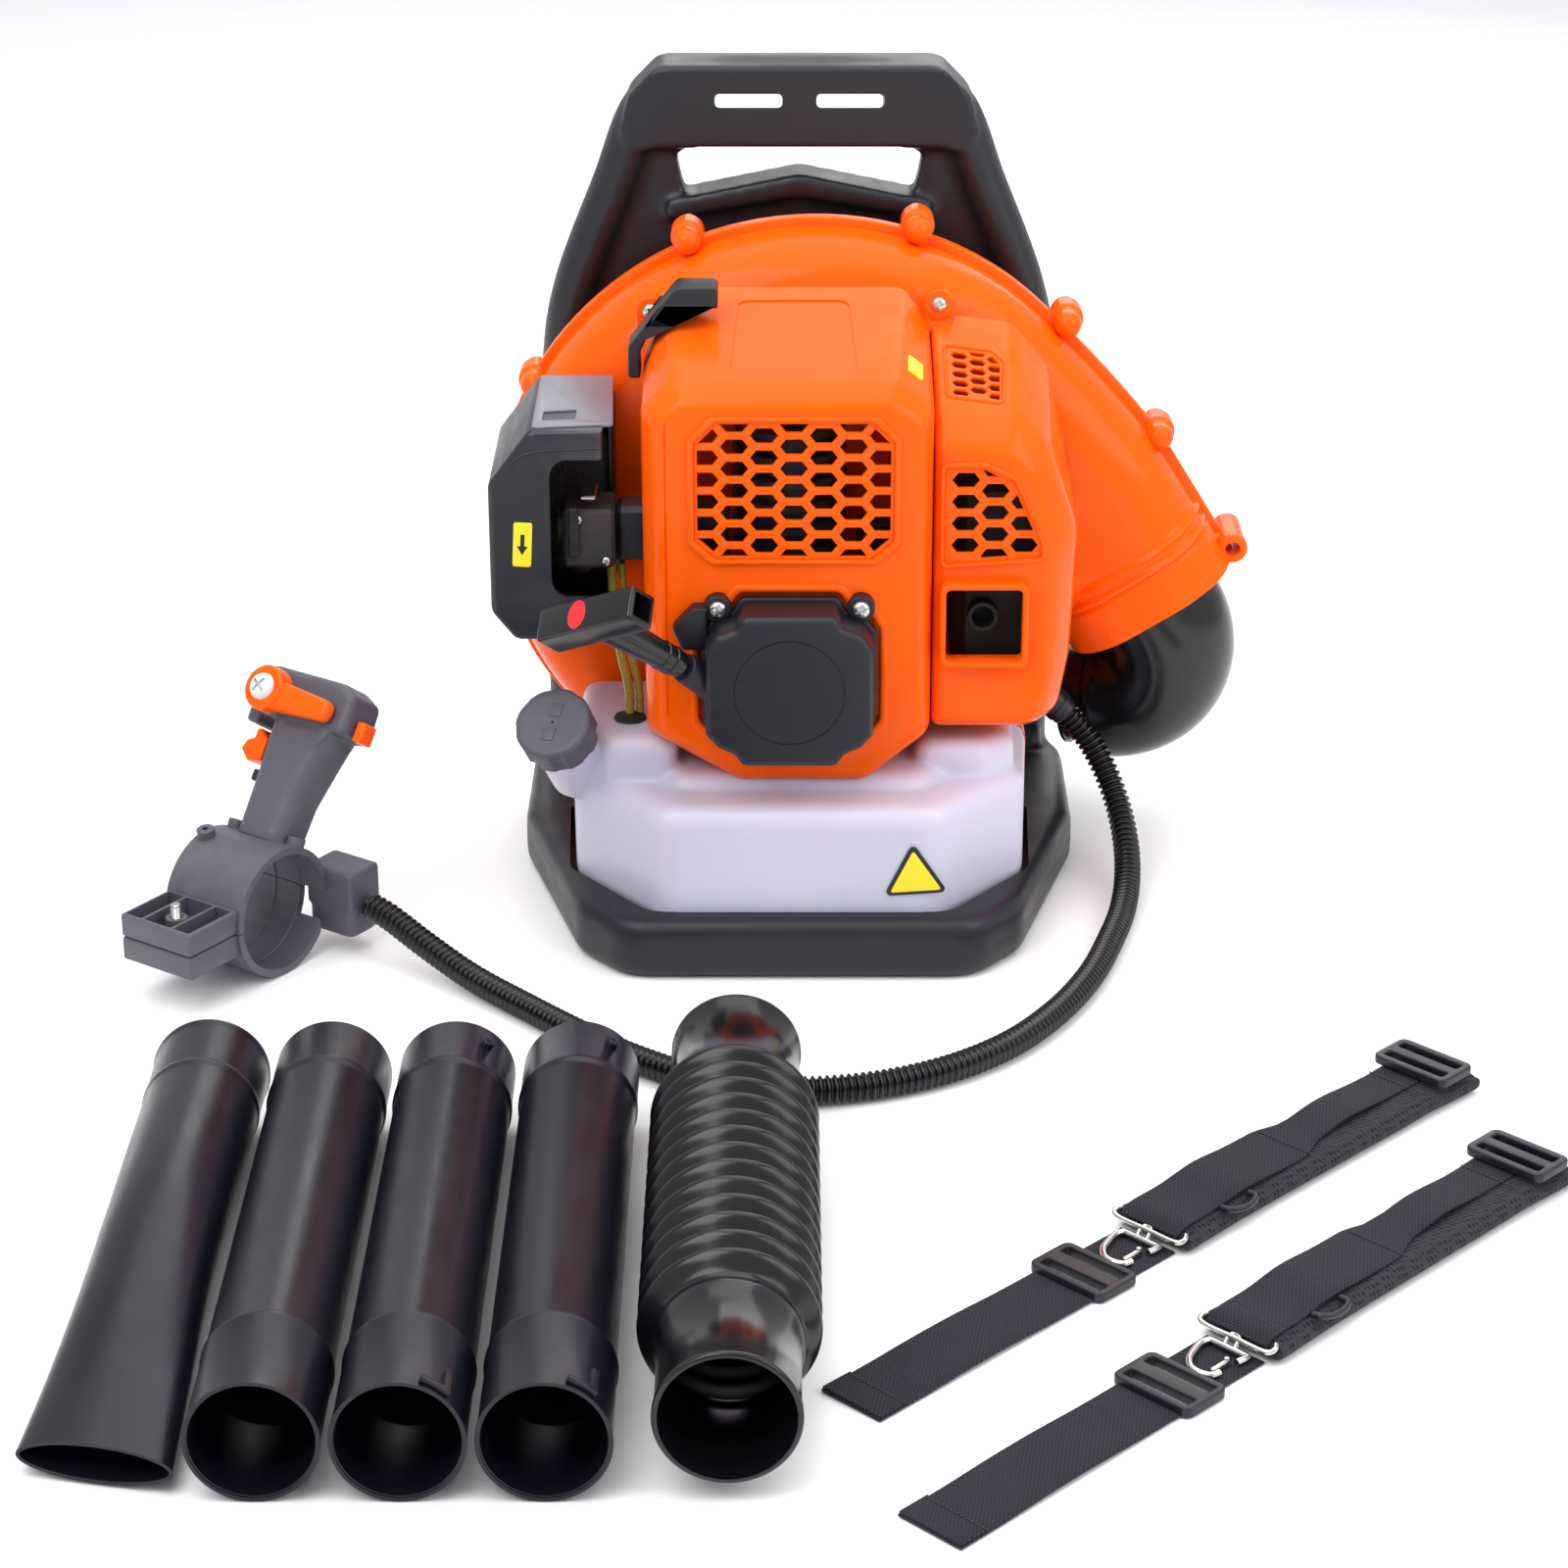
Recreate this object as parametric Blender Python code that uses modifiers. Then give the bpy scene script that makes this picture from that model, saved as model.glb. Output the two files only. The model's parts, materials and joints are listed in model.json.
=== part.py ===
"""Backpack leaf blower: two-stroke engine, fan housing and tank on a moulded back frame.

The unit stands on the floor with its throttle handle and loose kit laid out in front of it:
three blow tubes, a fishtail nozzle, a bellows hose and two shoulder straps.
Metres, +Z up. The origin is the centre of the frame base's underside. The wearer's back is
on the +Y side and the recoil starter faces -Y.
"""
import math

import bmesh
import bpy
from mathutils import Matrix, Vector

# Driving dimensions
GAP = 0.0003                      # clearance kept between touching pieces
AXIS_X = -0.006                   # crank axis, parallel to Y
AXIS_Z = 0.174
FRAME_TOP = 0.466
FRAME_FRONT = 0.094
FRAME_REAR = 0.130
BASE_HEIGHT = 0.0362
SLOT_Y = 0.112                    # middle of the two strap slots through the hand grip
SLOT_Z = 0.4425
SLOT_LENGTH = 0.040
SLOT_HEIGHT = 0.0080
SLOT_LEAN = math.radians(13.5)    # the slots fall towards the wearer's back
POCKET_FLOOR = 0.024              # floor of the tank's pocket in the base
BACK_PAD_REAR = 0.150
FOOT_X = 0.126                    # the housing's feet stand this far either side
FOOT_HALF_WIDTH = 0.012
FOOT_TOP = 0.0725
SCROLL_MID = 0.047                # split plane of the fan housing
SCROLL_FRONT = -0.003
SCROLL_REAR = 0.092
SCROLL_WALL = 0.003
SCROLL_R_MIN = 0.1374
SCROLL_R_GROWTH = 0.080
SCROLL_START = math.radians(-75)  # spiral angles run clockwise from straight down
SCROLL_END = math.radians(215)
SCROLL_STEPS = 24
ENGINE_HOLE_RADIUS = 0.030        # hole in the housing's front, round the crankshaft
AIR_HOLE_RADIUS = 0.078           # air intake in the housing's rear, behind the fan
FAN_RADIUS = 0.118
FAN_BORE = 0.0085
FAN_BLADES = 10
OUTLET_AXIS = Vector((0.529, 0.0, -0.849)).normalized()
OUTLET_CENTRE = Vector((0.2107, SCROLL_MID, 0.1567))
OUTLET_WIDTH = 0.106
ELBOW_RADIUS = 0.0400
ELBOW_BEND = 0.042
ELBOW_TURN = math.radians(115)
ELBOW_STEPS = 7
ELBOW_WALL = 0.0025
ELBOW_SIDE = Vector((-0.790, 0.370, -0.490)).normalized()
COVER_WALL = 0.0025
COVER_FRONT = -0.118
COVER_REAR = -0.012
MUFFLER_COVER_FRONT = -0.104
MUFFLER_COVER_LEFT = 0.0748
AXLE_HOLE_RADIUS = 0.040          # hole in the engine cover behind the starter
HEX_HALF_WIDTH = 0.0083           # long hexagon holes of the grilles
HEX_HALF_HEIGHT = 0.0043
HEX_FLAT = 0.0045
HEX_PITCH_X = 0.0183
HEX_PITCH_Z = 0.0137
STARTER_FRONT = -0.150
STARTER_REAR = COVER_FRONT - GAP
PULL_AXIS = Vector((-0.643, -0.491, 0.588)).normalized()
PULL_START = Vector((-0.052, -0.132, 0.172))
GRIP_AXIS = Vector((0.757, -0.518, 0.396)).normalized()
GRIP_DISTANCE = 0.0917
STARTER_CAVITY = 0.039
ROPE_BORE = 0.0035
CYLINDER_Y = -0.047
CYLINDER_TOP = 0.298
CYLINDER_FINS = 6
FIN_PITCH = 0.014
FIN_THICKNESS = 0.0035
FIN_RADIUS = 0.0325
BARREL_RADIUS = 0.0245            # the cylinder between its fins
FLYWHEEL_FINS = 8
EXHAUST_X = 0.1035                # the muffler's spout
EXHAUST_Z = 0.197
TANK_TOP = 0.0985
TANK_LEFT_TOP = 0.1250            # the raised left shoulder, with the neck and the fuel line
TANK_RIGHT_TOP = 0.1190
CAP_AXIS = Vector((-0.22, -0.604, 0.766)).normalized()
CAP_FACE = Vector((-0.1405, -0.1150, 0.1400))
CAP_HEIGHT = 0.0222
GROMMET_PLACE = (-0.098, -0.0735)
GROMMET_TOP = 0.1287
CONDUIT_RADIUS = 0.008
CONDUIT_STEP = 0.020
GLAND_LENGTH = 0.018
HANDLE_ORIGIN = Vector((-0.316, -0.137, 0.0385))
HANDLE_ALONG = Vector((0.821, -0.571, 0.0)).normalized()
HANDLE_ACROSS = Vector((0.571, 0.821, 0.0)).normalized()
HANDLE_LEAN = math.radians(55)
CLAMP_INNER = 0.034
CLAMP_OUTER = 0.038
CLAMP_HALF_WIDTH = 0.028
CLAMP_BOLT_Y = -0.058             # the bolt through the clamp's two flanges
CLAMP_BOLT_HOLE = 0.0034
GRIP_HALF_THICKNESS = 0.015
TUBE_RADIUS = 0.031
TUBE_WALL = 0.0018
TUBE_LENGTH = 0.355
TUBE_FAR_Y = -0.335
TUBE_PLACES = (-0.2455, -0.1805, -0.1155)
SOCKET_LENGTH = 0.060             # wide end of a blow tube
SPIGOT_LENGTH = 0.040
TUBE_STEP = 0.001                 # the tube's middle is this much narrower
BELLOWS_X = -0.034
BELLOWS_RADIUS = 0.043
CUFF_RADIUS = 0.034
CUFF_LENGTH = 0.062
CUFF_WALL = 0.002
NOZZLE_LIFT = 0.0006
STRAP_LENGTH = 0.4685
STRAP_STARTS = (Vector((0.022, -0.612, 0.0)), Vector((0.055, -0.715, 0.0)))
STRAP_DIRECTION = Vector((0.703, 0.711, 0.0)).normalized()
WEBBING_WIDTH = 0.038
TAIL_LENGTH = 0.150
BUCKLE_HALF_WIDTH = 0.0235
PAD_WIDTH = 0.054

# Route of the throttle conduit, from the engine's gland round to the handle's cable box
CONDUIT_ROUTE = [
    (0.1475, 0.0100, 0.1060), (0.1600, 0.0108, 0.0945), (0.1735, 0.0090, 0.0790),
    (0.1845, 0.0030, 0.0600), (0.1925, -0.0100, 0.0405), (0.1960, -0.0290, 0.0240),
    (0.1950, -0.0530, 0.0135), (0.1900, -0.0850, 0.0088), (0.1800, -0.1250, 0.0083),
    (0.1640, -0.1750, 0.0083), (0.1420, -0.2200, 0.0083), (0.1130, -0.2600, 0.0083),
    (0.0760, -0.2900, 0.0083), (0.0330, -0.3080, 0.0083), (-0.0100, -0.3120, 0.0083),
    (-0.0520, -0.3000, 0.0083), (-0.0900, -0.2750, 0.0083), (-0.1230, -0.2440, 0.0083),
    (-0.1540, -0.2110, 0.0083), (-0.1850, -0.1800, 0.0105), (-0.2130, -0.1535, 0.0180),
    (-0.2370, -0.1320, 0.0266), (-0.2478, -0.1247, 0.0300),
]
FUEL_LINE_ROUTE = [
    (-0.0980, -0.0735, 0.1290), (-0.0985, -0.0745, 0.1450), (-0.1020, -0.0780, 0.1650),
    (-0.1050, -0.0800, 0.1850), (-0.1062, -0.0790, 0.2050), (-0.1070, -0.0785, 0.2215),
]

COLOURS = {
    "orange_shell": ((1.0, 0.145, 0.010), 0.22, 0.0),
    "black_gloss": ((0.012, 0.012, 0.014), 0.20, 0.0),
    "black_moulded": ((0.020, 0.021, 0.026), 0.42, 0.0),
    "handle_grey": ((0.060, 0.062, 0.075), 0.55, 0.0),
    "tank_white": ((0.70, 0.67, 0.82), 0.35, 0.0),
    "rubber_black": ((0.015, 0.015, 0.017), 0.65, 0.0),
    "cast_alloy": ((0.42, 0.42, 0.43), 0.45, 0.9),
    "steel": ((0.55, 0.55, 0.57), 0.30, 1.0),
    "fuel_hose": ((0.42, 0.36, 0.05), 0.30, 0.0),
    "foam_black": ((0.020, 0.020, 0.022), 0.95, 0.0),
    "webbing": ((0.016, 0.016, 0.020), 0.85, 0.0),
    "pad_fabric": ((0.012, 0.012, 0.015), 0.90, 0.0),
    "rope_cord": ((0.05, 0.05, 0.05), 0.80, 0.0),
}

for leftover in list(bpy.data.objects):
    bpy.data.objects.remove(leftover, do_unlink=True)

parts = bpy.data.collections.new("backpack_leaf_blower")
cutters = bpy.data.collections.new("cutters")
bpy.context.scene.collection.children.link(parts)
bpy.context.scene.collection.children.link(cutters)


def finish_material(slot):
    """The Principled material for one kind of surface, made once and then shared."""
    known = bpy.data.materials.get(slot)
    if known:
        return known
    colour, roughness, metallic = COLOURS[slot]
    made = bpy.data.materials.new(slot)
    made.use_nodes = True
    shader = made.node_tree.nodes["Principled BSDF"]
    shader.inputs["Base Color"].default_value = (*colour, 1.0)
    shader.inputs["Roughness"].default_value = roughness
    shader.inputs["Metallic"].default_value = metallic
    return made


def add_object(name, mesh, slot=None, collection=parts, smooth_angle=35):
    """Put a mesh in the scene as a named part with its material."""
    obj = bpy.data.objects.new(name, mesh)
    collection.objects.link(obj)
    if slot:
        mesh.materials.clear()
        mesh.materials.append(finish_material(slot))
    mesh.shade_smooth()
    mesh.set_sharp_from_angle(angle=math.radians(smooth_angle))
    return obj


def mesh_from(bm, name, matrix=None):
    """Turn a bmesh into a mesh datablock, with its faces pointing out."""
    if matrix:
        bmesh.ops.transform(bm, matrix=matrix, verts=bm.verts)
    bmesh.ops.recalc_face_normals(bm, faces=bm.faces)
    mesh = bpy.data.meshes.new(name)
    bm.to_mesh(mesh)
    bm.free()
    return mesh


def bake(obj):
    """Apply an object's modifiers, or turn a curve into a welded mesh object."""
    bpy.context.view_layer.update()
    depsgraph = bpy.context.evaluated_depsgraph_get()
    mesh = bpy.data.meshes.new_from_object(obj.evaluated_get(depsgraph))
    bm = bmesh.new()
    bm.from_mesh(mesh)
    bmesh.ops.remove_doubles(bm, verts=bm.verts, dist=0.00002)
    bmesh.ops.dissolve_degenerate(bm, edges=bm.edges, dist=0.00001)
    bm.to_mesh(mesh)
    bm.free()
    if obj.type == "MESH":
        obj.modifiers.clear()
        obj.data = mesh
        return obj
    name = obj.name
    collection = obj.users_collection[0]
    mesh.transform(obj.matrix_world)
    bpy.data.objects.remove(obj, do_unlink=True)
    solid = bpy.data.objects.new(name, mesh)
    collection.objects.link(solid)
    return solid


def block(name, low, high, slot=None, bevel=0.0, segments=1, matrix=None, collection=parts):
    """A box between two corners, with rounded edges where bevel is given."""
    bm = bmesh.new()
    bmesh.ops.create_cube(bm, size=1.0)
    size = Vector(high) - Vector(low)
    middle = (Vector(high) + Vector(low)) / 2
    bmesh.ops.transform(bm, matrix=Matrix.Translation(middle) @ Matrix.Diagonal((*size, 1.0)), verts=bm.verts)
    if bevel:
        bmesh.ops.bevel(bm, geom=bm.edges[:], offset=bevel, segments=segments, profile=0.5, affect="EDGES")
    return add_object(name, mesh_from(bm, name, matrix), slot, collection)


def rod(name, start, end, radius, slot=None, radius_end=None, sides=20, bevel=0.0, collection=parts):
    """A cylinder or cone between two points."""
    start = Vector(start)
    end = Vector(end)
    bm = bmesh.new()
    depth = (end - start).length
    tip = radius if radius_end is None else radius_end
    bmesh.ops.create_cone(bm, cap_ends=True, segments=sides, radius1=radius, radius2=tip, depth=depth)
    if bevel:
        rims = [edge for edge in bm.edges if abs(edge.verts[0].co.z - edge.verts[1].co.z) < 1e-7]
        bmesh.ops.bevel(bm, geom=rims, offset=bevel, segments=2, profile=0.5, affect="EDGES")
    turn = Vector((0, 0, 1)).rotation_difference(end - start).to_matrix().to_4x4()
    return add_object(name, mesh_from(bm, name, Matrix.Translation((start + end) / 2) @ turn), slot,
                      collection)


def plate(name, outline, low, high, slot=None, holes=(), plane="XZ", bevel=0.0, segments=2,
          matrix=None, collection=parts):
    """A flat outline in a plane, drawn as a filled 2D curve and extruded between two depths."""
    curve = bpy.data.curves.new(name, "CURVE")
    curve.dimensions = "2D"
    curve.fill_mode = "BOTH"
    curve.extrude = (high - low) / 2
    for ring in (outline, *holes):
        spline = curve.splines.new("POLY")
        spline.points.add(len(ring) - 1)
        spline.use_cyclic_u = True
        for point, (across, up) in zip(spline.points, ring):
            point.co = (across, up, 0, 1)
    drawn = bpy.data.objects.new(name, curve)
    collection.objects.link(drawn)
    if plane == "XZ":
        upright = Matrix.Rotation(math.pi / 2, 4, "X")
        drawn.matrix_world = Matrix.Translation((0, (low + high) / 2, 0)) @ upright
    else:
        drawn.matrix_world = Matrix.Translation((0, 0, (low + high) / 2))
    solid = bake(drawn)
    bm = bmesh.new()
    bm.from_mesh(solid.data)
    bmesh.ops.dissolve_limit(bm, angle_limit=0.01, verts=bm.verts, edges=bm.edges)
    if bevel:
        sharp = [edge for edge in bm.edges if edge.calc_face_angle(0) > 0.6]
        bmesh.ops.bevel(bm, geom=sharp, offset=bevel, segments=segments, profile=0.5, affect="EDGES")
    bpy.data.objects.remove(solid, do_unlink=True)
    return add_object(name, mesh_from(bm, name, matrix), slot, collection)


def turned(name, profile, slot=None, sides=24, matrix=None, collection=parts, closed=False):
    """A turned piece: a radius and height profile, top to bottom, swept round Z by a Screw."""
    mesh = bpy.data.meshes.new(name)
    points = [(radius, 0.0, height) for radius, height in profile]
    edges = [(index, index + 1) for index in range(len(points) - 1)]
    if closed:
        edges.append((len(points) - 1, 0))
    mesh.from_pydata(points, edges, [])
    obj = bpy.data.objects.new(name, mesh)
    collection.objects.link(obj)
    screw = obj.modifiers.new("turn", "SCREW")
    screw.angle = 2 * math.pi
    screw.steps = sides
    screw.render_steps = sides
    screw.use_merge_vertices = True
    screw.merge_threshold = 0.00001
    solid = bake(obj)
    bm = bmesh.new()
    bm.from_mesh(solid.data)
    bpy.data.objects.remove(solid, do_unlink=True)
    return add_object(name, mesh_from(bm, name, matrix), slot, collection)


def loft(name, rings, slot=None, caps=(True, True), wall=0.0, collection=parts):
    """Skin a row of rings that have the same number of points, and thicken it if it is open."""
    bm = bmesh.new()
    rows = [[bm.verts.new(point) for point in ring] for ring in rings]
    count = len(rings[0])
    for row, following in zip(rows, rows[1:]):
        for index in range(count):
            after = (index + 1) % count
            bm.faces.new((row[index], row[after], following[after], following[index]))
    if caps[0]:
        bm.faces.new(rows[0])
    if caps[1]:
        bm.faces.new(rows[-1])
    obj = add_object(name, mesh_from(bm, name), slot, collection)
    if wall:
        obj = thicken(obj, wall, slot)
    return obj


def thicken(obj, wall, slot):
    """Give an open surface a wall on its inner side."""
    solidify = obj.modifiers.new("wall", "SOLIDIFY")
    solidify.thickness = wall
    solidify.offset = -1.0
    solidify.use_even_offset = True
    solid = bake(obj)
    return reface(solid, slot)


def reface(obj, slot):
    """Reset an object's material and its outward faces after its mesh was rebuilt."""
    bm = bmesh.new()
    bm.from_mesh(obj.data)
    bmesh.ops.recalc_face_normals(bm, faces=bm.faces)
    bm.to_mesh(obj.data)
    bm.free()
    obj.data.materials.clear()
    obj.data.materials.append(finish_material(slot))
    obj.data.shade_smooth()
    obj.data.set_sharp_from_angle(angle=math.radians(35))
    return obj


def combine(obj, others, operation, slot):
    """Join or cut an object with others by Boolean, and remove the others."""
    for other in others:
        other.hide_render = True
        other.display_type = "WIRE"
        boolean = obj.modifiers.new(operation.lower(), "BOOLEAN")
        boolean.operation = operation
        boolean.solver = "EXACT"
        boolean.object = other
        obj = bake(obj)
        bpy.data.objects.remove(other, do_unlink=True)
    return reface(obj, slot)


def tube(name, points, radius, slot, resolution=2):
    """A round rod or cord along a POLY curve with filled caps."""
    curve = bpy.data.curves.new(name, "CURVE")
    curve.dimensions = "3D"
    curve.bevel_depth = radius
    curve.bevel_resolution = resolution
    curve.use_fill_caps = True
    spline = curve.splines.new("POLY")
    spline.points.add(len(points) - 1)
    for point, place in zip(spline.points, points):
        point.co = (*place, 1)
    drawn = bpy.data.objects.new(name, curve)
    parts.objects.link(drawn)
    return reface(bake(drawn), slot)


def smooth_route(points, spacing):
    """Even steps along a smooth curve through the route's points (centripetal Catmull-Rom)."""
    places = [Vector(point) for point in points]
    places.insert(0, places[0] * 2 - places[1])
    places.append(places[-1] * 2 - places[-2])
    dense = []
    for first, start, end, last in zip(places, places[1:], places[2:], places[3:]):
        knots = [0.0]
        for before, after in ((first, start), (start, end), (end, last)):
            knots.append(knots[-1] + math.sqrt((after - before).length))
        for step in range(24):
            at = knots[1] + (knots[2] - knots[1]) * step / 24
            a1 = first.lerp(start, (at - knots[0]) / (knots[1] - knots[0]))
            a2 = start.lerp(end, (at - knots[1]) / (knots[2] - knots[1]))
            a3 = end.lerp(last, (at - knots[2]) / (knots[3] - knots[2]))
            b1 = a1.lerp(a2, (at - knots[0]) / (knots[2] - knots[0]))
            b2 = a2.lerp(a3, (at - knots[1]) / (knots[3] - knots[1]))
            dense.append(b1.lerp(b2, (at - knots[1]) / (knots[2] - knots[1])))
    dense.append(places[-2])
    length = sum((after - before).length for before, after in zip(dense, dense[1:]))
    count = max(2, round(length / spacing))
    even = [dense[0]]
    travelled = 0.0
    for before, after in zip(dense, dense[1:]):
        step = (after - before).length
        while len(even) < count and travelled + step >= length * len(even) / count:
            share = (length * len(even) / count - travelled) / step
            even.append(before.lerp(after, share))
        travelled += step
    even.append(dense[-1])
    return even


def ring_points(centre, across, up, radius_across, radius_up, count):
    """Points round an ellipse that lies in the plane of two directions."""
    points = []
    for index in range(count):
        angle = 2 * math.pi * index / count
        points.append(centre + across * radius_across * math.cos(angle) + up * radius_up * math.sin(angle))
    return points


def frame_matrix(origin, along, across, up):
    """The matrix that takes local X, Y and Z to three world directions."""
    turn = Matrix((along, across, up)).transposed().to_4x4()
    return Matrix.Translation(origin) @ turn


def mirrored(half):
    """A closed outline from its right half, listed from the top down."""
    return half + [(-across, up) for across, up in reversed(half)]


def hexagon_grid(name, left, right, bottom, top, low, high, allowed=None):
    """Rows of long hexagon holes as one cutter, keeping those whose centre is allowed."""
    outline = [(-HEX_HALF_WIDTH, 0), (-HEX_FLAT, -HEX_HALF_HEIGHT), (HEX_FLAT, -HEX_HALF_HEIGHT),
               (HEX_HALF_WIDTH, 0), (HEX_FLAT, HEX_HALF_HEIGHT), (-HEX_FLAT, HEX_HALF_HEIGHT)]
    bm = bmesh.new()
    column = 0
    x = left + HEX_HALF_WIDTH
    while x + HEX_HALF_WIDTH <= right + 0.001:
        z = bottom + HEX_HALF_HEIGHT + (HEX_PITCH_Z / 2 if column % 2 else 0.0)
        while z + HEX_HALF_HEIGHT <= top + 0.0005:
            if allowed is None or allowed(x, z):
                front = [bm.verts.new((x + dx, low, z + dz)) for dx, dz in outline]
                back = [bm.verts.new((x + dx, high, z + dz)) for dx, dz in outline]
                bm.faces.new(front)
                bm.faces.new(back[::-1])
                for index in range(len(outline)):
                    after = (index + 1) % len(outline)
                    bm.faces.new((front[index], back[index], back[after], front[after]))
            z += HEX_PITCH_Z
        x += HEX_PITCH_X
        column += 1
    return add_object(name, mesh_from(bm, name), None, cutters)


def build_frame():
    """The moulded back with its hand grip, and the base with the tank's pocket."""
    back_half = [(0.084, FRAME_TOP), (0.100, FRAME_TOP - 0.016), (0.122, 0.391), (0.147, 0.325),
                 (0.154, 0.280), (0.154, BASE_HEIGHT + GAP)]
    hand_half = [(0.066, 0.418), (0.071, 0.389), (0.0, 0.401)]
    hand_hole = hand_half + [(-across, up) for across, up in reversed(hand_half[:2])]
    back = plate("frame_back", mirrored(back_half), FRAME_FRONT, FRAME_REAR, "black_moulded",
                 holes=(hand_hole,), bevel=0.008)
    half_slot = SLOT_HEIGHT / 2
    leaning = Matrix.Translation((0, SLOT_Y, SLOT_Z)) @ Matrix.Rotation(-SLOT_LEAN, 4, "X")
    slots = [block("slot", (x, -0.05, -half_slot), (x + SLOT_LENGTH, 0.05, half_slot), matrix=leaning,
                   collection=cutters) for x in (-0.050, 0.010)]
    combine(back, slots, "DIFFERENCE", "black_moulded")
    base_half = [(0.100, -0.163), (0.128, -0.130), (0.165, 0.0), (0.165, 0.100), (0.150, 0.134)]
    base = plate("frame_base", mirrored(base_half), 0.0, BASE_HEIGHT, "black_moulded", plane="XY",
                 bevel=0.007)
    pocket_half = [(0.088, -0.151), (0.137, -0.088), (0.141, -0.003)]
    pocket = plate("pocket", mirrored(pocket_half), POCKET_FLOOR, 0.06, plane="XY", collection=cutters)
    combine(base, [pocket], "DIFFERENCE", "black_moulded")
    block("back_pad", (-0.112, FRAME_REAR + GAP, 0.105), (0.112, BACK_PAD_REAR, 0.360), "pad_fabric",
          bevel=0.006)


def build_feet():
    """The orange feet that carry the fan housing on the base."""
    for side, name in ((-1, "left"), (1, "right")):
        x = side * FOOT_X
        block("housing_foot_" + name, (x - FOOT_HALF_WIDTH, 0.030, BASE_HEIGHT + GAP),
              (x + FOOT_HALF_WIDTH, 0.060, FOOT_TOP), "orange_shell", bevel=0.003)


def scroll_outline():
    """The outline of the fan housing: a growing spiral that runs off straight to the outlet."""
    outline = []
    for index in range(SCROLL_STEPS + 1):
        angle = SCROLL_START + (SCROLL_END - SCROLL_START) * index / SCROLL_STEPS
        share = max(0.0, angle / SCROLL_END)
        radius = SCROLL_R_MIN + SCROLL_R_GROWTH * share * share * (3 - 2 * share)
        outline.append((AXIS_X - radius * math.sin(angle), AXIS_Z - radius * math.cos(angle)))
    side = Vector((-OUTLET_AXIS.z, 0.0, OUTLET_AXIS.x)) * OUTLET_WIDTH / 2
    overrun = OUTLET_AXIS * 0.06
    outer = OUTLET_CENTRE + side
    inner = OUTLET_CENTRE - side
    shoulder = outer - OUTLET_AXIS * 0.075
    rim = Vector((outline[-1][0], 0.0, outline[-1][1]))
    heading = Vector((math.cos(SCROLL_END), 0.0, -math.sin(SCROLL_END))) * -0.09
    for index in range(1, 5):
        t = index / 5
        h00 = 2 * t ** 3 - 3 * t ** 2 + 1
        h10 = t ** 3 - 2 * t ** 2 + t
        h01 = 3 * t ** 2 - 2 * t ** 3
        h11 = t ** 3 - t ** 2
        place = rim * h00 + heading * h10 + shoulder * h01 + OUTLET_AXIS * 0.09 * h11
        outline.append((place.x, place.z))
    for place in (shoulder, outer, outer + overrun, inner + overrun, inner, inner - OUTLET_AXIS * 0.020):
        outline.append((place.x, place.z))
    return outline


def scroll_half(name, face_y, rounding):
    """One half of the fan housing: rounded rim, open at the split and at the outlet."""
    bm = bmesh.new()
    verts = [bm.verts.new((x, SCROLL_MID, z)) for x, z in scroll_outline()]
    split = bm.faces.new(verts)
    made = bmesh.ops.extrude_face_region(bm, geom=[split])
    moved = [item for item in made["geom"] if isinstance(item, bmesh.types.BMVert)]
    bmesh.ops.translate(bm, verts=moved, vec=(0, face_y - SCROLL_MID, 0))
    rim = [edge for edge in bm.edges if all(abs(vert.co.y - face_y) < 1e-6 for vert in edge.verts)]
    bmesh.ops.bevel(bm, geom=rim, offset=rounding, segments=3, profile=0.5, affect="EDGES",
                    clamp_overlap=False)
    bmesh.ops.delete(bm, geom=[face for face in bm.faces
                               if all(abs(vert.co.y - SCROLL_MID) < 1e-6 for vert in face.verts)],
                     context="FACES_ONLY")
    everything = bm.verts[:] + bm.edges[:] + bm.faces[:]
    bmesh.ops.bisect_plane(bm, geom=everything, plane_co=OUTLET_CENTRE, plane_no=OUTLET_AXIS,
                           clear_outer=True)
    obj = add_object(name, mesh_from(bm, name), "orange_shell")
    return thicken(obj, SCROLL_WALL, "orange_shell")


def build_fan_housing():
    """The two housing halves, with the engine hole in front and the air intake behind."""
    front = scroll_half("fan_housing_front", SCROLL_FRONT, 0.038)
    hole = rod("hole", (AXIS_X, -0.02, AXIS_Z), (AXIS_X, 0.02, AXIS_Z), ENGINE_HOLE_RADIUS, sides=24,
               collection=cutters)
    combine(front, [hole], "DIFFERENCE", "orange_shell")
    rear = scroll_half("fan_housing_rear", SCROLL_REAR, 0.030)
    hole = rod("hole", (AXIS_X, 0.07, AXIS_Z), (AXIS_X, 0.10, AXIS_Z), AIR_HOLE_RADIUS, sides=32,
               collection=cutters)
    combine(rear, [hole], "DIFFERENCE", "orange_shell")
    rear.data.transform(Matrix.Translation((0, GAP, 0)))


def crank_frame():
    """The matrix of a piece turned about the crank axis: its local Z runs back along the axis."""
    return Matrix.Translation((AXIS_X, 0, AXIS_Z)) @ Matrix.Rotation(-math.pi / 2, 4, "X")


def spoke_frame(index, count):
    """The matrix of one of a number of equal spokes round the crank axis."""
    return Matrix.Translation((AXIS_X, 0, AXIS_Z)) @ Matrix.Rotation(2 * math.pi * index / count, 4, "Y")


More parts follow.
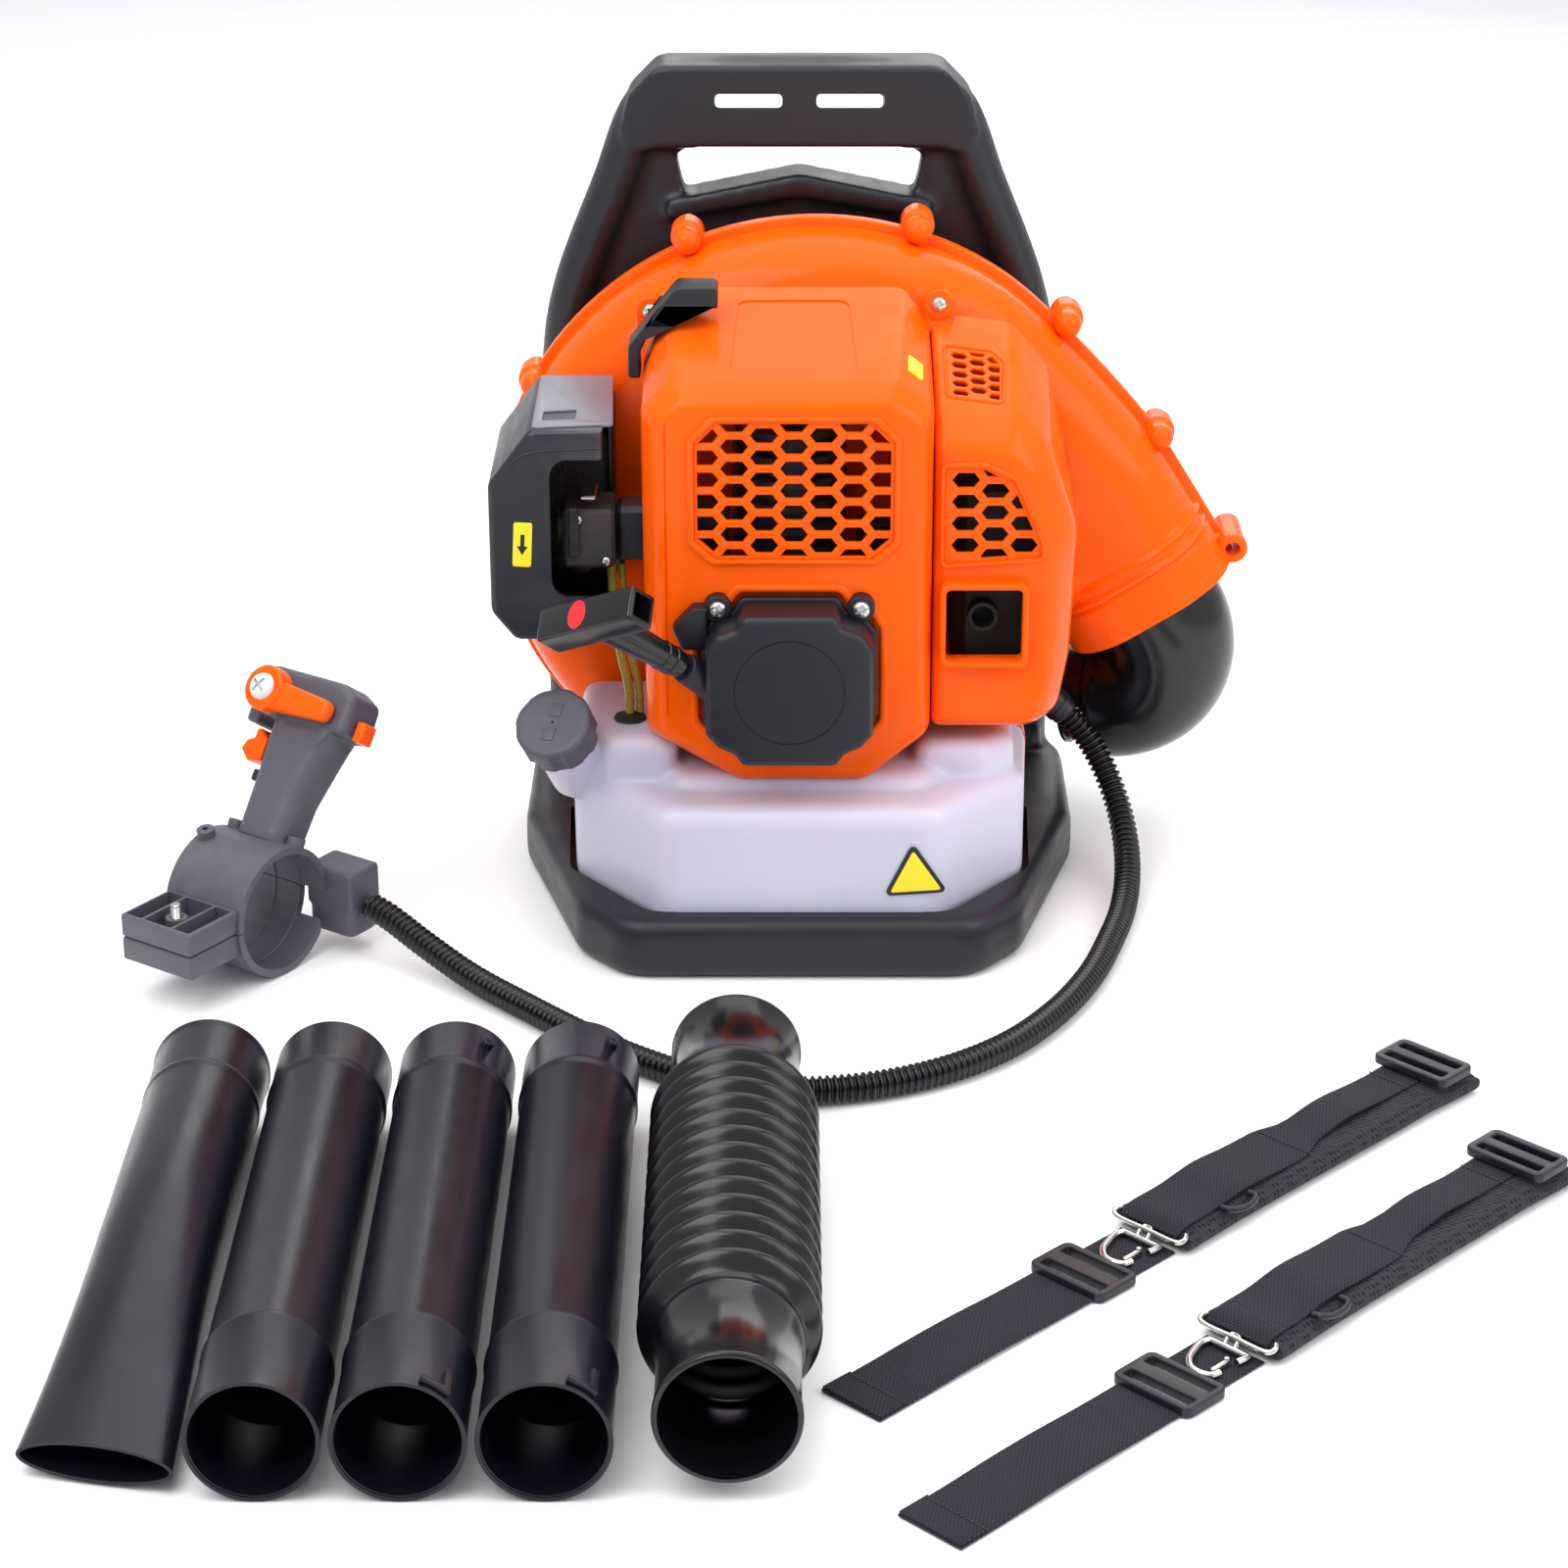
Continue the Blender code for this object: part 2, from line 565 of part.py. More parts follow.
def build_impeller():
    """The fan: a back plate with a hub and straight blades, joined into one solid."""
    profile = [(FAN_BORE, 0.052), (0.020, 0.052), (0.024, 0.018), (FAN_RADIUS, 0.016), (FAN_RADIUS, 0.013),
               (FAN_BORE, 0.013)]
    disc = turned("fan_impeller", profile, "black_moulded", sides=28, matrix=crank_frame(), closed=True)
    blades = [block("blade", (0.058, 0.015, -0.0012), (0.113, 0.060, 0.0012),
                    matrix=spoke_frame(index, FAN_BLADES), collection=cutters) for index in range(FAN_BLADES)]
    combine(disc, blades, "UNION", "black_moulded")


def elbow_path():
    """Centre line of the elbow: a short straight, the bend, and a short straight to its collar."""
    start = OUTLET_CENTRE + OUTLET_AXIS * 0.001
    bend_start = start + OUTLET_AXIS * 0.012
    centre = bend_start + ELBOW_SIDE * ELBOW_BEND
    path = [start]
    for index in range(ELBOW_STEPS + 1):
        angle = ELBOW_TURN * index / ELBOW_STEPS
        sideways = ELBOW_SIDE * ELBOW_BEND * math.cos(angle)
        path.append(centre - sideways + OUTLET_AXIS * ELBOW_BEND * math.sin(angle))
    heading = OUTLET_AXIS * math.cos(ELBOW_TURN) + ELBOW_SIDE * math.sin(ELBOW_TURN)
    for step in (0.006, 0.003, 0.016):
        path.append(path[-1] + heading * step)
    return path


def build_elbow():
    """The swivelling elbow below the outlet, with a narrower collar for the bellows hose."""
    path = elbow_path()
    normal = OUTLET_AXIS.cross(ELBOW_SIDE).normalized()
    rings = []
    for index, place in enumerate(path):
        before = path[max(index - 1, 0)]
        after = path[min(index + 1, len(path) - 1)]
        heading = (after - before).normalized()
        radius = TUBE_RADIUS if index >= len(path) - 2 else ELBOW_RADIUS
        rings.append(ring_points(place, heading.cross(normal), normal, radius, radius, 18))
    loft("outlet_elbow", rings, "black_gloss", caps=(False, False), wall=ELBOW_WALL)


def cover_rings(stations):
    """Rings of a cover from its front face back: each station is a depth and an outline."""
    return [[Vector((x, depth, z)) for x, z in outline] for depth, outline in stations]


def build_engine_cover():
    """The orange engine cover with its hexagon grille and the opening behind the starter."""
    front = [(-0.066, 0.329), (0.048, 0.329), (0.068, 0.317), (0.070, 0.135),
             (0.036, 0.106), (-0.034, 0.106), (-0.079, 0.135), (-0.080, 0.317)]
    edge = [(-0.070, 0.338), (0.053, 0.338), (0.0742, 0.322), (0.0742, 0.130),
            (0.038, 0.1005), (-0.036, 0.1005), (-0.0875, 0.130), (-0.0885, 0.322)]
    rear = [(-0.077, 0.365), (0.058, 0.365), (0.0742, 0.345), (0.0742, 0.130),
            (0.038, 0.1005), (-0.036, 0.1005), (-0.0875, 0.130), (-0.0885, 0.335)]
    rings = cover_rings([(COVER_FRONT, front), (COVER_FRONT + 0.014, edge), (COVER_REAR, rear)])
    cover = loft("engine_cover", rings, "orange_shell", caps=(True, False), wall=COVER_WALL)
    grille = hexagon_grid("grille", -0.061, 0.053, 0.2385, 0.3205, COVER_FRONT - 0.01, COVER_FRONT + 0.01)
    axle_hole = rod("hole", (AXIS_X, -0.13, AXIS_Z), (AXIS_X, -0.11, AXIS_Z), AXLE_HOLE_RADIUS,
                    collection=cutters)
    port = block("port", (0.066, -0.078, 0.195), (0.080, -0.038, 0.250), collection=cutters)
    inlet = block("inlet", (-0.095, -0.100, 0.200), (-0.080, -0.040, 0.290), collection=cutters)
    combine(cover, [grille, axle_hole, port, inlet], "DIFFERENCE", "orange_shell")


def build_muffler_cover():
    """The cover over the muffler, with its side grille and the exhaust hood."""
    left = MUFFLER_COVER_LEFT
    front = [(left, 0.300), (0.118, 0.296), (0.130, 0.285), (0.143, 0.235), (0.141, 0.165),
             (0.137, 0.142), (0.128, 0.134), (left, 0.134)]
    edge = [(left, 0.318), (0.121, 0.312), (0.138, 0.297), (0.157, 0.245), (0.154, 0.170),
            (0.148, 0.136), (0.132, 0.1255), (left, 0.1255)]
    rear = [(left, 0.350), (0.121, 0.344), (0.142, 0.318), (0.157, 0.250), (0.154, 0.170),
            (0.148, 0.136), (0.132, 0.1255), (left, 0.1255)]
    rings = cover_rings([(MUFFLER_COVER_FRONT, front), (MUFFLER_COVER_FRONT + 0.018, edge),
                         (COVER_REAR, rear)])
    cover = loft("muffler_cover", rings, "orange_shell", caps=(True, False), wall=COVER_WALL)
    hood = block("hood", (0.0785, -0.1140, 0.172), (0.1285, -0.1020, 0.222), bevel=0.002, collection=cutters)
    combine(cover, [hood], "UNION", "orange_shell")
    grille = hexagon_grid("grille", 0.080, 0.140, 0.2310, 0.2880, -0.115, -0.090,
                          lambda x, z: z < 0.52 - 2.0 * x)
    hood_hole = block("hole", (0.082, -0.120, 0.1755), (0.125, -0.095, 0.2185), collection=cutters)
    port = block("port", (0.070, -0.080, 0.193), (0.080, -0.036, 0.252), collection=cutters)
    combine(cover, [grille, hood_hole, port], "DIFFERENCE", "orange_shell")


def build_engine():
    """Crankcase, finned cylinder, piston, crankshaft, flywheel, plug, muffler and manifold."""
    along_y = crank_frame()
    case = [(0.0105, -0.018), (0.036, -0.018), (0.036, -0.078), (0.0105, -0.078), (0.0105, -0.073),
            (0.031, -0.073), (0.031, -0.023), (0.0105, -0.023)]
    turned("crankcase", case, "cast_alloy", sides=24, matrix=along_y, closed=True)
    shaft = [(0.0, 0.070), (0.0080, 0.070), (0.0080, -0.034), (0.027, -0.034), (0.027, -0.042),
             (0.008, -0.042), (0.008, -0.054), (0.027, -0.054), (0.027, -0.062), (0.008, -0.062),
             (0.008, -0.108), (0.0, -0.108)]
    turned("crankshaft", shaft, "steel", sides=16, matrix=along_y)
    wheel = [(0.0085, -0.0825), (0.020, -0.0825), (0.022, -0.088), (0.049, -0.088), (0.049, -0.098),
             (0.0085, -0.098)]
    disc = turned("flywheel", wheel, "cast_alloy", sides=24, matrix=along_y, closed=True)
    fins = [block("fin", (0.026, -0.106, -0.001), (0.047, -0.097, 0.001),
                  matrix=spoke_frame(index, FLYWHEEL_FINS), collection=cutters)
            for index in range(FLYWHEEL_FINS)]
    combine(disc, fins, "UNION", "cast_alloy")
    upright = Matrix.Translation((AXIS_X, CYLINDER_Y, 0))
    profile = [(0.0, CYLINDER_TOP)]
    for index in range(CYLINDER_FINS):
        top = CYLINDER_TOP - index * FIN_PITCH
        root = top - FIN_THICKNESS
        profile += [(FIN_RADIUS, top), (FIN_RADIUS, root), (BARREL_RADIUS, root),
                    (BARREL_RADIUS, top - FIN_PITCH)]
    bottom = CYLINDER_TOP - CYLINDER_FINS * FIN_PITCH
    profile += [(0.0195, bottom), (0.0195, 0.288), (0.0, 0.288)]
    turned("cylinder", profile, "cast_alloy", sides=16, matrix=upright)
    crown = [(0.0, 0.262), (0.0190, 0.262), (0.0190, 0.236), (0.0150, 0.236), (0.0150, 0.255), (0.0, 0.255)]
    turned("piston", crown, "cast_alloy", sides=18, matrix=upright)
    plug = [(0.0, 0.336), (0.0045, 0.336), (0.0045, 0.316), (0.0095, 0.314), (0.0095, 0.305),
            (0.007, 0.305), (0.007, CYLINDER_TOP + GAP), (0.0, CYLINDER_TOP + GAP)]
    turned("spark_plug", plug, "steel", sides=12, matrix=upright)
    can = block("muffler", (0.086, -0.088, 0.160), (0.144, -0.024, 0.276), "steel", bevel=0.008)
    neck = block("neck", (0.0325, -0.066, 0.2060), (0.092, -0.046, 0.2400), collection=cutters)
    can = combine(can, [neck], "UNION", "steel")
    spout = rod("spout", (EXHAUST_X, -0.098, EXHAUST_Z), (EXHAUST_X, -0.080, EXHAUST_Z), 0.0085, sides=16,
                collection=cutters)
    can = combine(can, [spout], "UNION", "steel")
    hole = rod("hole", (EXHAUST_X, -0.110, EXHAUST_Z), (EXHAUST_X, -0.084, EXHAUST_Z), 0.0065, sides=16,
               collection=cutters)
    combine(can, [hole], "DIFFERENCE", "steel")
    block("intake_manifold", (-0.1037, -0.086, 0.226), (-0.0395, -0.062, 0.258), "black_moulded",
          bevel=0.003)


def build_starter():
    """Recoil starter: housing with its rope guide, the pulley with its rope, and the T grip."""
    middle_z = 0.171
    half = [(0.026, 0.045), (0.034, 0.042), (0.047, 0.030), (0.047, -0.030), (0.034, -0.044),
            (0.022, -0.0465)]
    outline = [(AXIS_X + across, middle_z + up) for across, up in mirrored(half)]
    shell = plate("starter_housing", outline, STARTER_FRONT, STARTER_REAR, "black_gloss", bevel=0.005)
    cavity = rod("cavity", (AXIS_X, STARTER_FRONT + 0.004, AXIS_Z), (AXIS_X, STARTER_REAR + 0.01, AXIS_Z),
                 STARTER_CAVITY, sides=24, collection=cutters)
    shell = combine(shell, [cavity], "DIFFERENCE", "black_gloss")
    guide_end = PULL_START + PULL_AXIS * 0.020
    guide = rod("guide", PULL_START - PULL_AXIS * 0.006, guide_end, 0.0105, radius_end=0.0085, sides=16,
                collection=cutters)
    shell = combine(shell, [guide], "UNION", "black_gloss")
    bore = rod("bore", PULL_START - PULL_AXIS * 0.030, guide_end + PULL_AXIS * 0.01, ROPE_BORE, sides=12,
               collection=cutters)
    combine(shell, [bore], "DIFFERENCE", "black_gloss")
    along_y = crank_frame()
    pulley = [(0.004, -0.128), (0.030, -0.128), (0.030, -0.131), (0.024, -0.133), (0.024, -0.137),
              (0.030, -0.139), (0.030, -0.142), (0.004, -0.142)]
    turned("starter_pulley", pulley, "black_moulded", sides=24, matrix=along_y, closed=True)
    wound = [(0.0243, -0.1335), (0.029, -0.1335), (0.029, -0.1365), (0.0243, -0.1365)]
    turned("starter_rope", wound, "rope_cord", sides=24, matrix=along_y, closed=True)
    centre = PULL_START + PULL_AXIS * GRIP_DISTANCE
    place = frame_matrix(centre, GRIP_AXIS, PULL_AXIS.cross(GRIP_AXIS), PULL_AXIS)
    bar = block("starter_grip", (-0.036, -0.0100, -0.0095), (0.034, 0.0100, 0.0095), "black_gloss",
                bevel=0.002, matrix=place)
    stem = rod("stem", PULL_START + PULL_AXIS * 0.0235, centre, 0.0075, radius_end=0.0095, sides=16,
               collection=cutters)
    bar = combine(bar, [stem], "UNION", "black_gloss")
    hollow = block("hollow", (0.012, -0.0070, -0.0065), (0.050, 0.0070, 0.0065), matrix=place,
                   collection=cutters)
    combine(bar, [hollow], "DIFFERENCE", "black_gloss")


def build_latch():
    """The black latch over the top left corner of the engine cover."""
    outline = [(-0.046, 0.3655), (-0.046, 0.3775), (-0.069, 0.3775), (-0.0965, 0.343), (-0.0965, 0.325),
               (-0.0897, 0.325), (-0.0902, 0.3385), (-0.0785, 0.3655)]
    plate("cover_latch", outline, -0.058, -0.036, "black_moulded", bevel=0.0015)


def build_intake():
    """Air filter cover, element and base, and the carburettor with its levers and primer."""
    outline = [(-0.1094, 0.3116), (-0.150, 0.3116), (-0.1735, 0.280), (-0.1735, 0.205), (-0.160, 0.188),
               (-0.1094, 0.188)]
    cover = plate("air_filter_cover", outline, -0.112, -0.008, "black_moulded", bevel=0.003)
    cavity_outline = [(-0.100, 0.3091), (-0.149, 0.3091), (-0.171, 0.279), (-0.171, 0.206), (-0.159, 0.1905),
                      (-0.100, 0.1905)]
    cavity = plate("cavity", cavity_outline, -0.1095, -0.0105, collection=cutters)
    notch = block("notch", (-0.139, -0.130, 0.214), (-0.100, -0.056, 0.295), collection=cutters)
    combine(cover, [cavity, notch], "DIFFERENCE", "black_moulded")
    block("air_filter_base", (-0.1092, -0.050, 0.196), (-0.1062, -0.013, 0.304), "black_moulded",
          bevel=0.0008)
    block("air_filter_element", (-0.156, -0.049, 0.207), (-0.1095, -0.014, 0.290), "foam_black", bevel=0.004)
    body = block("carburetor", (-0.1330, -0.096, 0.2255), (-0.1040, -0.062, 0.2600), "cast_alloy",
                 bevel=0.002)
    barrel = rod("barrel", (-0.1365, -0.076, 0.243), (-0.1330 + 0.004, -0.076, 0.243), 0.012, sides=16,
                 collection=cutters)
    body = combine(body, [barrel], "UNION", "cast_alloy")
    post = rod("post", (-0.1185, -0.079, 0.258), (-0.1185, -0.079, 0.266), 0.004, sides=12,
               collection=cutters)
    combine(body, [post], "UNION", "cast_alloy")
    block("throttle_arm", (-0.123, -0.098, 0.2665), (-0.114, -0.0745, 0.2690), "steel", bevel=0.0008)
    block("choke_lever", (-0.1300, -0.0990, 0.2330), (-0.1240, -0.0965, 0.2620), "black_moulded",
          bevel=0.0008)
    dome = [(0.0, -0.007), (0.004, -0.006), (0.007, -0.003), (0.008, 0.0), (0.0, 0.0)]
    turned("primer_bulb", list(reversed(dome)), "rubber_black", sides=14,
           matrix=Matrix.Translation((-0.124, -0.074, 0.2222)))


def build_tank():
    """Fuel tank with its stepped top and slanted neck, the cap, the grommet and the fuel line."""
    lower_half = [(0.078, -0.1480), (0.130, -0.0860), (0.135, -0.0070)]
    tank = plate("fuel_tank", mirrored(lower_half), POCKET_FLOOR + GAP, TANK_TOP, "tank_white", plane="XY",
                 bevel=0.010, segments=3)
    left_top = [(-0.088, -0.0080), (-0.128, -0.0080), (-0.128, -0.085), (-0.106, -0.105), (-0.088, -0.105)]
    right_top = [(0.076, -0.0080), (0.124, -0.0080), (0.124, -0.080), (0.104, -0.098), (0.076, -0.098)]
    left = plate("left", left_top, 0.060, TANK_LEFT_TOP, plane="XY", bevel=0.007, collection=cutters)
    right = plate("right", right_top, 0.060, TANK_RIGHT_TOP, plane="XY", bevel=0.007, collection=cutters)
    neck_end = CAP_FACE - CAP_AXIS * (CAP_HEIGHT + GAP)
    neck = rod("neck", neck_end - CAP_AXIS * 0.035, neck_end, 0.017, sides=20, collection=cutters)
    combine(tank, [left, right, neck], "UNION", "tank_white")
    cap = [(0.0, 0.0), (0.019, 0.0), (0.0225, -0.0025), (0.0225, -0.019), (0.0205, -CAP_HEIGHT),
           (0.0, -CAP_HEIGHT)]
    turned("fuel_cap", cap, "black_moulded", sides=24, matrix=frame_matrix(CAP_FACE, *cap_basis(CAP_AXIS)))
    rod("tank_grommet", (*GROMMET_PLACE, TANK_LEFT_TOP + GAP), (*GROMMET_PLACE, GROMMET_TOP), 0.0095,
        "rubber_black", sides=20)
    tube("fuel_line", smooth_route(FUEL_LINE_ROUTE, 0.007), 0.0030, "fuel_hose")


def cap_basis(axis):
    """Three perpendicular directions whose last one is the axis."""
    across = Vector((0, 0, 1)).cross(axis).normalized()
    return across, axis.cross(across), axis


def build_conduit():
    """The gland at the engine and the free conduit of the throttle cable."""
    start = Vector(CONDUIT_ROUTE[0])
    heading = (Vector(CONDUIT_ROUTE[1]) - start).normalized()
    rod("conduit_gland", start - heading * GLAND_LENGTH, start - heading * GAP, 0.0105, "black_moulded",
        sides=16, bevel=0.001)
    tube("throttle_conduit", smooth_route(CONDUIT_ROUTE, CONDUIT_STEP), CONDUIT_RADIUS, "black_gloss")


def handle_frames():
    """The handle's two frames: the clamp ring's, and the leaning grip's."""
    ring = frame_matrix(HANDLE_ORIGIN, HANDLE_ALONG, HANDLE_ACROSS, Vector((0, 0, 1)))
    up = HANDLE_ACROSS * math.cos(HANDLE_LEAN) + Vector((0, 0, 1)) * math.sin(HANDLE_LEAN)
    face = HANDLE_ALONG.cross(up)
    grip = frame_matrix(HANDLE_ORIGIN, HANDLE_ALONG, face, up)
    return ring, grip


def clamp_ring(name, low, high, slot, collection=parts):
    """Half of the clamp's band, between two heights of the ring's frame."""
    ring_frame = handle_frames()[0]
    turn = ring_frame @ Matrix.Rotation(math.pi / 2, 4, "Y")
    width = CLAMP_HALF_WIDTH
    band = [(CLAMP_INNER, width), (CLAMP_OUTER, width), (CLAMP_OUTER, -width), (CLAMP_INNER, -width)]
    ring = turned(name, band, slot, sides=32, matrix=turn, closed=True, collection=collection)
    keep = block("keep", (-0.04, -0.06, low), (0.04, 0.06, high), matrix=ring_frame, collection=cutters)
    return combine(ring, [keep], "INTERSECT", slot)


def bolt_hole():
    """Cutter of the hole for the clamp's bolt, down through both flanges."""
    ring_frame = handle_frames()[0]
    start = ring_frame @ Vector((0, CLAMP_BOLT_Y, -0.03))
    end = ring_frame @ Vector((0, CLAMP_BOLT_Y, 0.03))
    return rod("hole", start, end, CLAMP_BOLT_HOLE, sides=12, collection=cutters)


def build_handle():
    """Throttle handle: grip with the upper clamp half and cable box, lower half, bolt and controls."""
    ring_frame, grip_frame = handle_frames()
    body_outline = [(-0.017, 0.036), (-0.018, 0.072), (-0.0195, 0.094), (-0.034, 0.104), (-0.037, 0.120),
                    (-0.031, 0.134), (0.022, 0.134), (0.034, 0.128), (0.035, 0.104), (0.024, 0.086),
                    (0.0185, 0.062), (0.0175, 0.036)]
    # The outline's second value runs up the grip, which is the frame's third axis
    grip = plate("handle_grip", body_outline, -GRIP_HALF_THICKNESS, GRIP_HALF_THICKNESS, "handle_grey",
                 bevel=0.006, matrix=grip_frame)
    upper = clamp_ring("upper", GAP, 0.06, "handle_grey", collection=cutters)
    box = block("box", (0.0120, 0.0365, -0.0290), (0.0460, 0.0630, 0.0130), bevel=0.002, matrix=ring_frame,
                collection=cutters)
    flange = block("flange", (-0.026, -0.076, GAP), (0.026, -0.0355, 0.0140), bevel=0.0015,
                   matrix=ring_frame, collection=cutters)
    grip = combine(grip, [upper, box, flange], "UNION", "handle_grey")
    trigger_room = block("room", (-0.025, -0.009, 0.074), (-0.012, 0.009, 0.0955), matrix=grip_frame,
                         collection=cutters)
    combine(grip, [bolt_hole(), trigger_room], "DIFFERENCE", "handle_grey")
    lower = clamp_ring("clamp_half", -0.06, -GAP, "handle_grey")
    flange = block("flange", (-0.026, -0.076, -0.0140), (0.026, -0.0355, -GAP), bevel=0.0015,
                   matrix=ring_frame, collection=cutters)
    lower = combine(lower, [flange], "UNION", "handle_grey")
    box_room = block("room", (0.0100, 0.0300, -0.0320), (0.0500, 0.0700, 0.0200), matrix=ring_frame,
                     collection=cutters)
    combine(lower, [box_room, bolt_hole()], "DIFFERENCE", "handle_grey")
    bolt = [(0.0, 0.020), (0.0030, 0.020), (0.0030, -0.0143), (0.0060, -0.0143), (0.0060, -0.0190),
            (0.0, -0.0190)]
    turned("clamp_bolt", bolt, "steel", sides=12,
           matrix=ring_frame @ Matrix.Translation((0, CLAMP_BOLT_Y, 0)))
    trigger_outline = [(-0.0265, 0.0965), (-0.0203, 0.0915), (-0.0203, 0.079), (-0.0300, 0.0765),
                       (-0.0370, 0.0825), (-0.0345, 0.0885), (-0.0300, 0.0905), (-0.0300, 0.0965)]
    plate("throttle_trigger", trigger_outline, -0.008, 0.008, "orange_shell", bevel=0.002, matrix=grip_frame)
    disc = rod("lock_lever", grip_frame @ Vector((-0.022, 0.0155, 0.118)),
               grip_frame @ Vector((-0.022, 0.0265, 0.118)), 0.0135, "orange_shell", sides=24, bevel=0.002)
    arm = block("arm", (-0.020, 0.0157, 0.108), (0.026, 0.0250, 0.121), bevel=0.003, matrix=grip_frame,
                collection=cutters)
    combine(disc, [arm], "UNION", "orange_shell")
    block("stop_switch", (0.0355, -0.006, 0.104), (0.0415, 0.006, 0.116), "orange_shell", bevel=0.0015,
          matrix=grip_frame)


def build_tubes():
    """The three blow tubes, the fishtail nozzle and the bellows hose on the floor."""
    inner = TUBE_RADIUS - TUBE_WALL
    narrow = TUBE_RADIUS - TUBE_STEP
    socket = SOCKET_LENGTH - TUBE_LENGTH
    profile = [(TUBE_RADIUS, 0.0), (TUBE_RADIUS, -SPIGOT_LENGTH), (narrow, -SPIGOT_LENGTH - 0.002),
               (narrow, socket + 0.002), (TUBE_RADIUS, socket), (TUBE_RADIUS, -TUBE_LENGTH),
               (inner, -TUBE_LENGTH), (inner - TUBE_STEP, socket + 0.002),
               (inner - TUBE_STEP, -SPIGOT_LENGTH - 0.002), (inner, 0.0)]
    lay_down = Matrix.Rotation(-math.pi / 2, 4, "X")
    for index, x in enumerate(TUBE_PLACES):
        place = Matrix.Translation((x, TUBE_FAR_Y, TUBE_RADIUS + GAP)) @ lay_down
        turned("blow_tube_%d" % (index + 1), profile, "black_gloss", sides=20, matrix=place, closed=True)
    place = Matrix.Translation((BELLOWS_X, TUBE_FAR_Y, BELLOWS_RADIUS + GAP)) @ lay_down
    cuff_inner = CUFF_RADIUS - CUFF_WALL
    hose = [(CUFF_RADIUS, 0.0), (CUFF_RADIUS, -CUFF_LENGTH), (BELLOWS_RADIUS, -CUFF_LENGTH - 0.006),
            (BELLOWS_RADIUS, CUFF_LENGTH + 0.006 - TUBE_LENGTH), (CUFF_RADIUS, CUFF_LENGTH - TUBE_LENGTH),
            (CUFF_RADIUS, -TUBE_LENGTH), (cuff_inner, -TUBE_LENGTH), (cuff_inner, 0.0)]
    turned("bellows_hose", hose, "black_gloss", sides=24, matrix=place, closed=True)
    rings = []
    stations = [(0.0, -0.3100, 0.0310, 0.0310), (0.045, -0.3102, 0.0305, 0.0305),
                (0.160, -0.3115, 0.0300, 0.0300), (0.230, -0.3135, 0.0315, 0.0240),
                (0.290, -0.3160, 0.0345, 0.0165), (0.350, -0.3185, 0.0375, 0.0110)]
    for distance, x, half_width, half_height in stations:
        centre = Vector((x, TUBE_FAR_Y - distance, half_height + NOZZLE_LIFT))
        rings.append(ring_points(centre, Vector((1, 0, 0)), Vector((0, 0, 1)), half_width, half_height, 24))
    loft("fishtail_nozzle", rings, "black_gloss", caps=(False, False), wall=TUBE_WALL)


def build_strap(label, start):
    """One shoulder strap laid flat: webbing tail, ladder lock, snap hook with gate, pad and tensioner."""
    across = Vector((0, 0, 1)).cross(STRAP_DIRECTION)
    place = frame_matrix(start, STRAP_DIRECTION, across, Vector((0, 0, 1)))
    half = WEBBING_WIDTH / 2
    block("webbing_tail_" + label, (0.0, -half, 0.0004), (TAIL_LENGTH, half, 0.0034), "webbing",
          matrix=place)
    lock = block("ladder_lock_" + label, (0.1505, -BUCKLE_HALF_WIDTH, 0.0004),
                 (0.1805, BUCKLE_HALF_WIDTH, 0.0060), "black_moulded", bevel=0.0015, matrix=place)
    slots = [block("slot", (x, -0.0195, -0.01), (x + 0.0065, 0.0195, 0.02), matrix=place, collection=cutters)
             for x in (0.1545, 0.1700)]
    combine(lock, slots, "DIFFERENCE", "black_moulded")
    hook = [(0.2125, -0.0125), (0.2125, 0.0125), (0.2055, 0.0145), (0.1885, 0.0095), (0.1810, 0.0020),
            (0.1810, -0.0060), (0.1850, -0.0120), (0.1905, -0.0120), (0.1905, -0.0092), (0.1865, -0.0092),
            (0.1845, -0.0050), (0.1855, 0.0005), (0.1905, 0.0055), (0.2045, 0.0100), (0.2075, 0.0085),
            (0.2075, -0.0085), (0.2010, -0.0085), (0.2010, -0.0125)]
    plate("snap_hook_" + label, hook, 0.0010, 0.0060, "steel", plane="XY", matrix=place)
    block("hook_gate_" + label, (0.1873, -0.0085, 0.0015), (0.2005, -0.0060, 0.0055), "steel", bevel=0.0006,
          matrix=place)
    pad_half = PAD_WIDTH / 2
    block("shoulder_pad_" + label, (0.2145, -pad_half, 0.0006), (STRAP_LENGTH, pad_half, 0.0125),
          "pad_fabric", bevel=0.003, matrix=place)
    block("tensioner_" + label, (0.4300, -BUCKLE_HALF_WIDTH, 0.0128), (0.4580, BUCKLE_HALF_WIDTH, 0.0188),
          "black_moulded", bevel=0.0015, matrix=place)


build_frame()
build_feet()
build_fan_housing()
build_impeller()
build_elbow()
build_engine_cover()
build_muffler_cover()
build_engine()
build_starter()
build_latch()
build_intake()
build_tank()
build_conduit()
build_handle()
build_tubes()
for strap_label, strap_start in zip(("a", "b"), STRAP_STARTS):
    build_strap(strap_label, strap_start)
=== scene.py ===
import json
import math

import bmesh
import bpy
from mathutils import Matrix, Vector


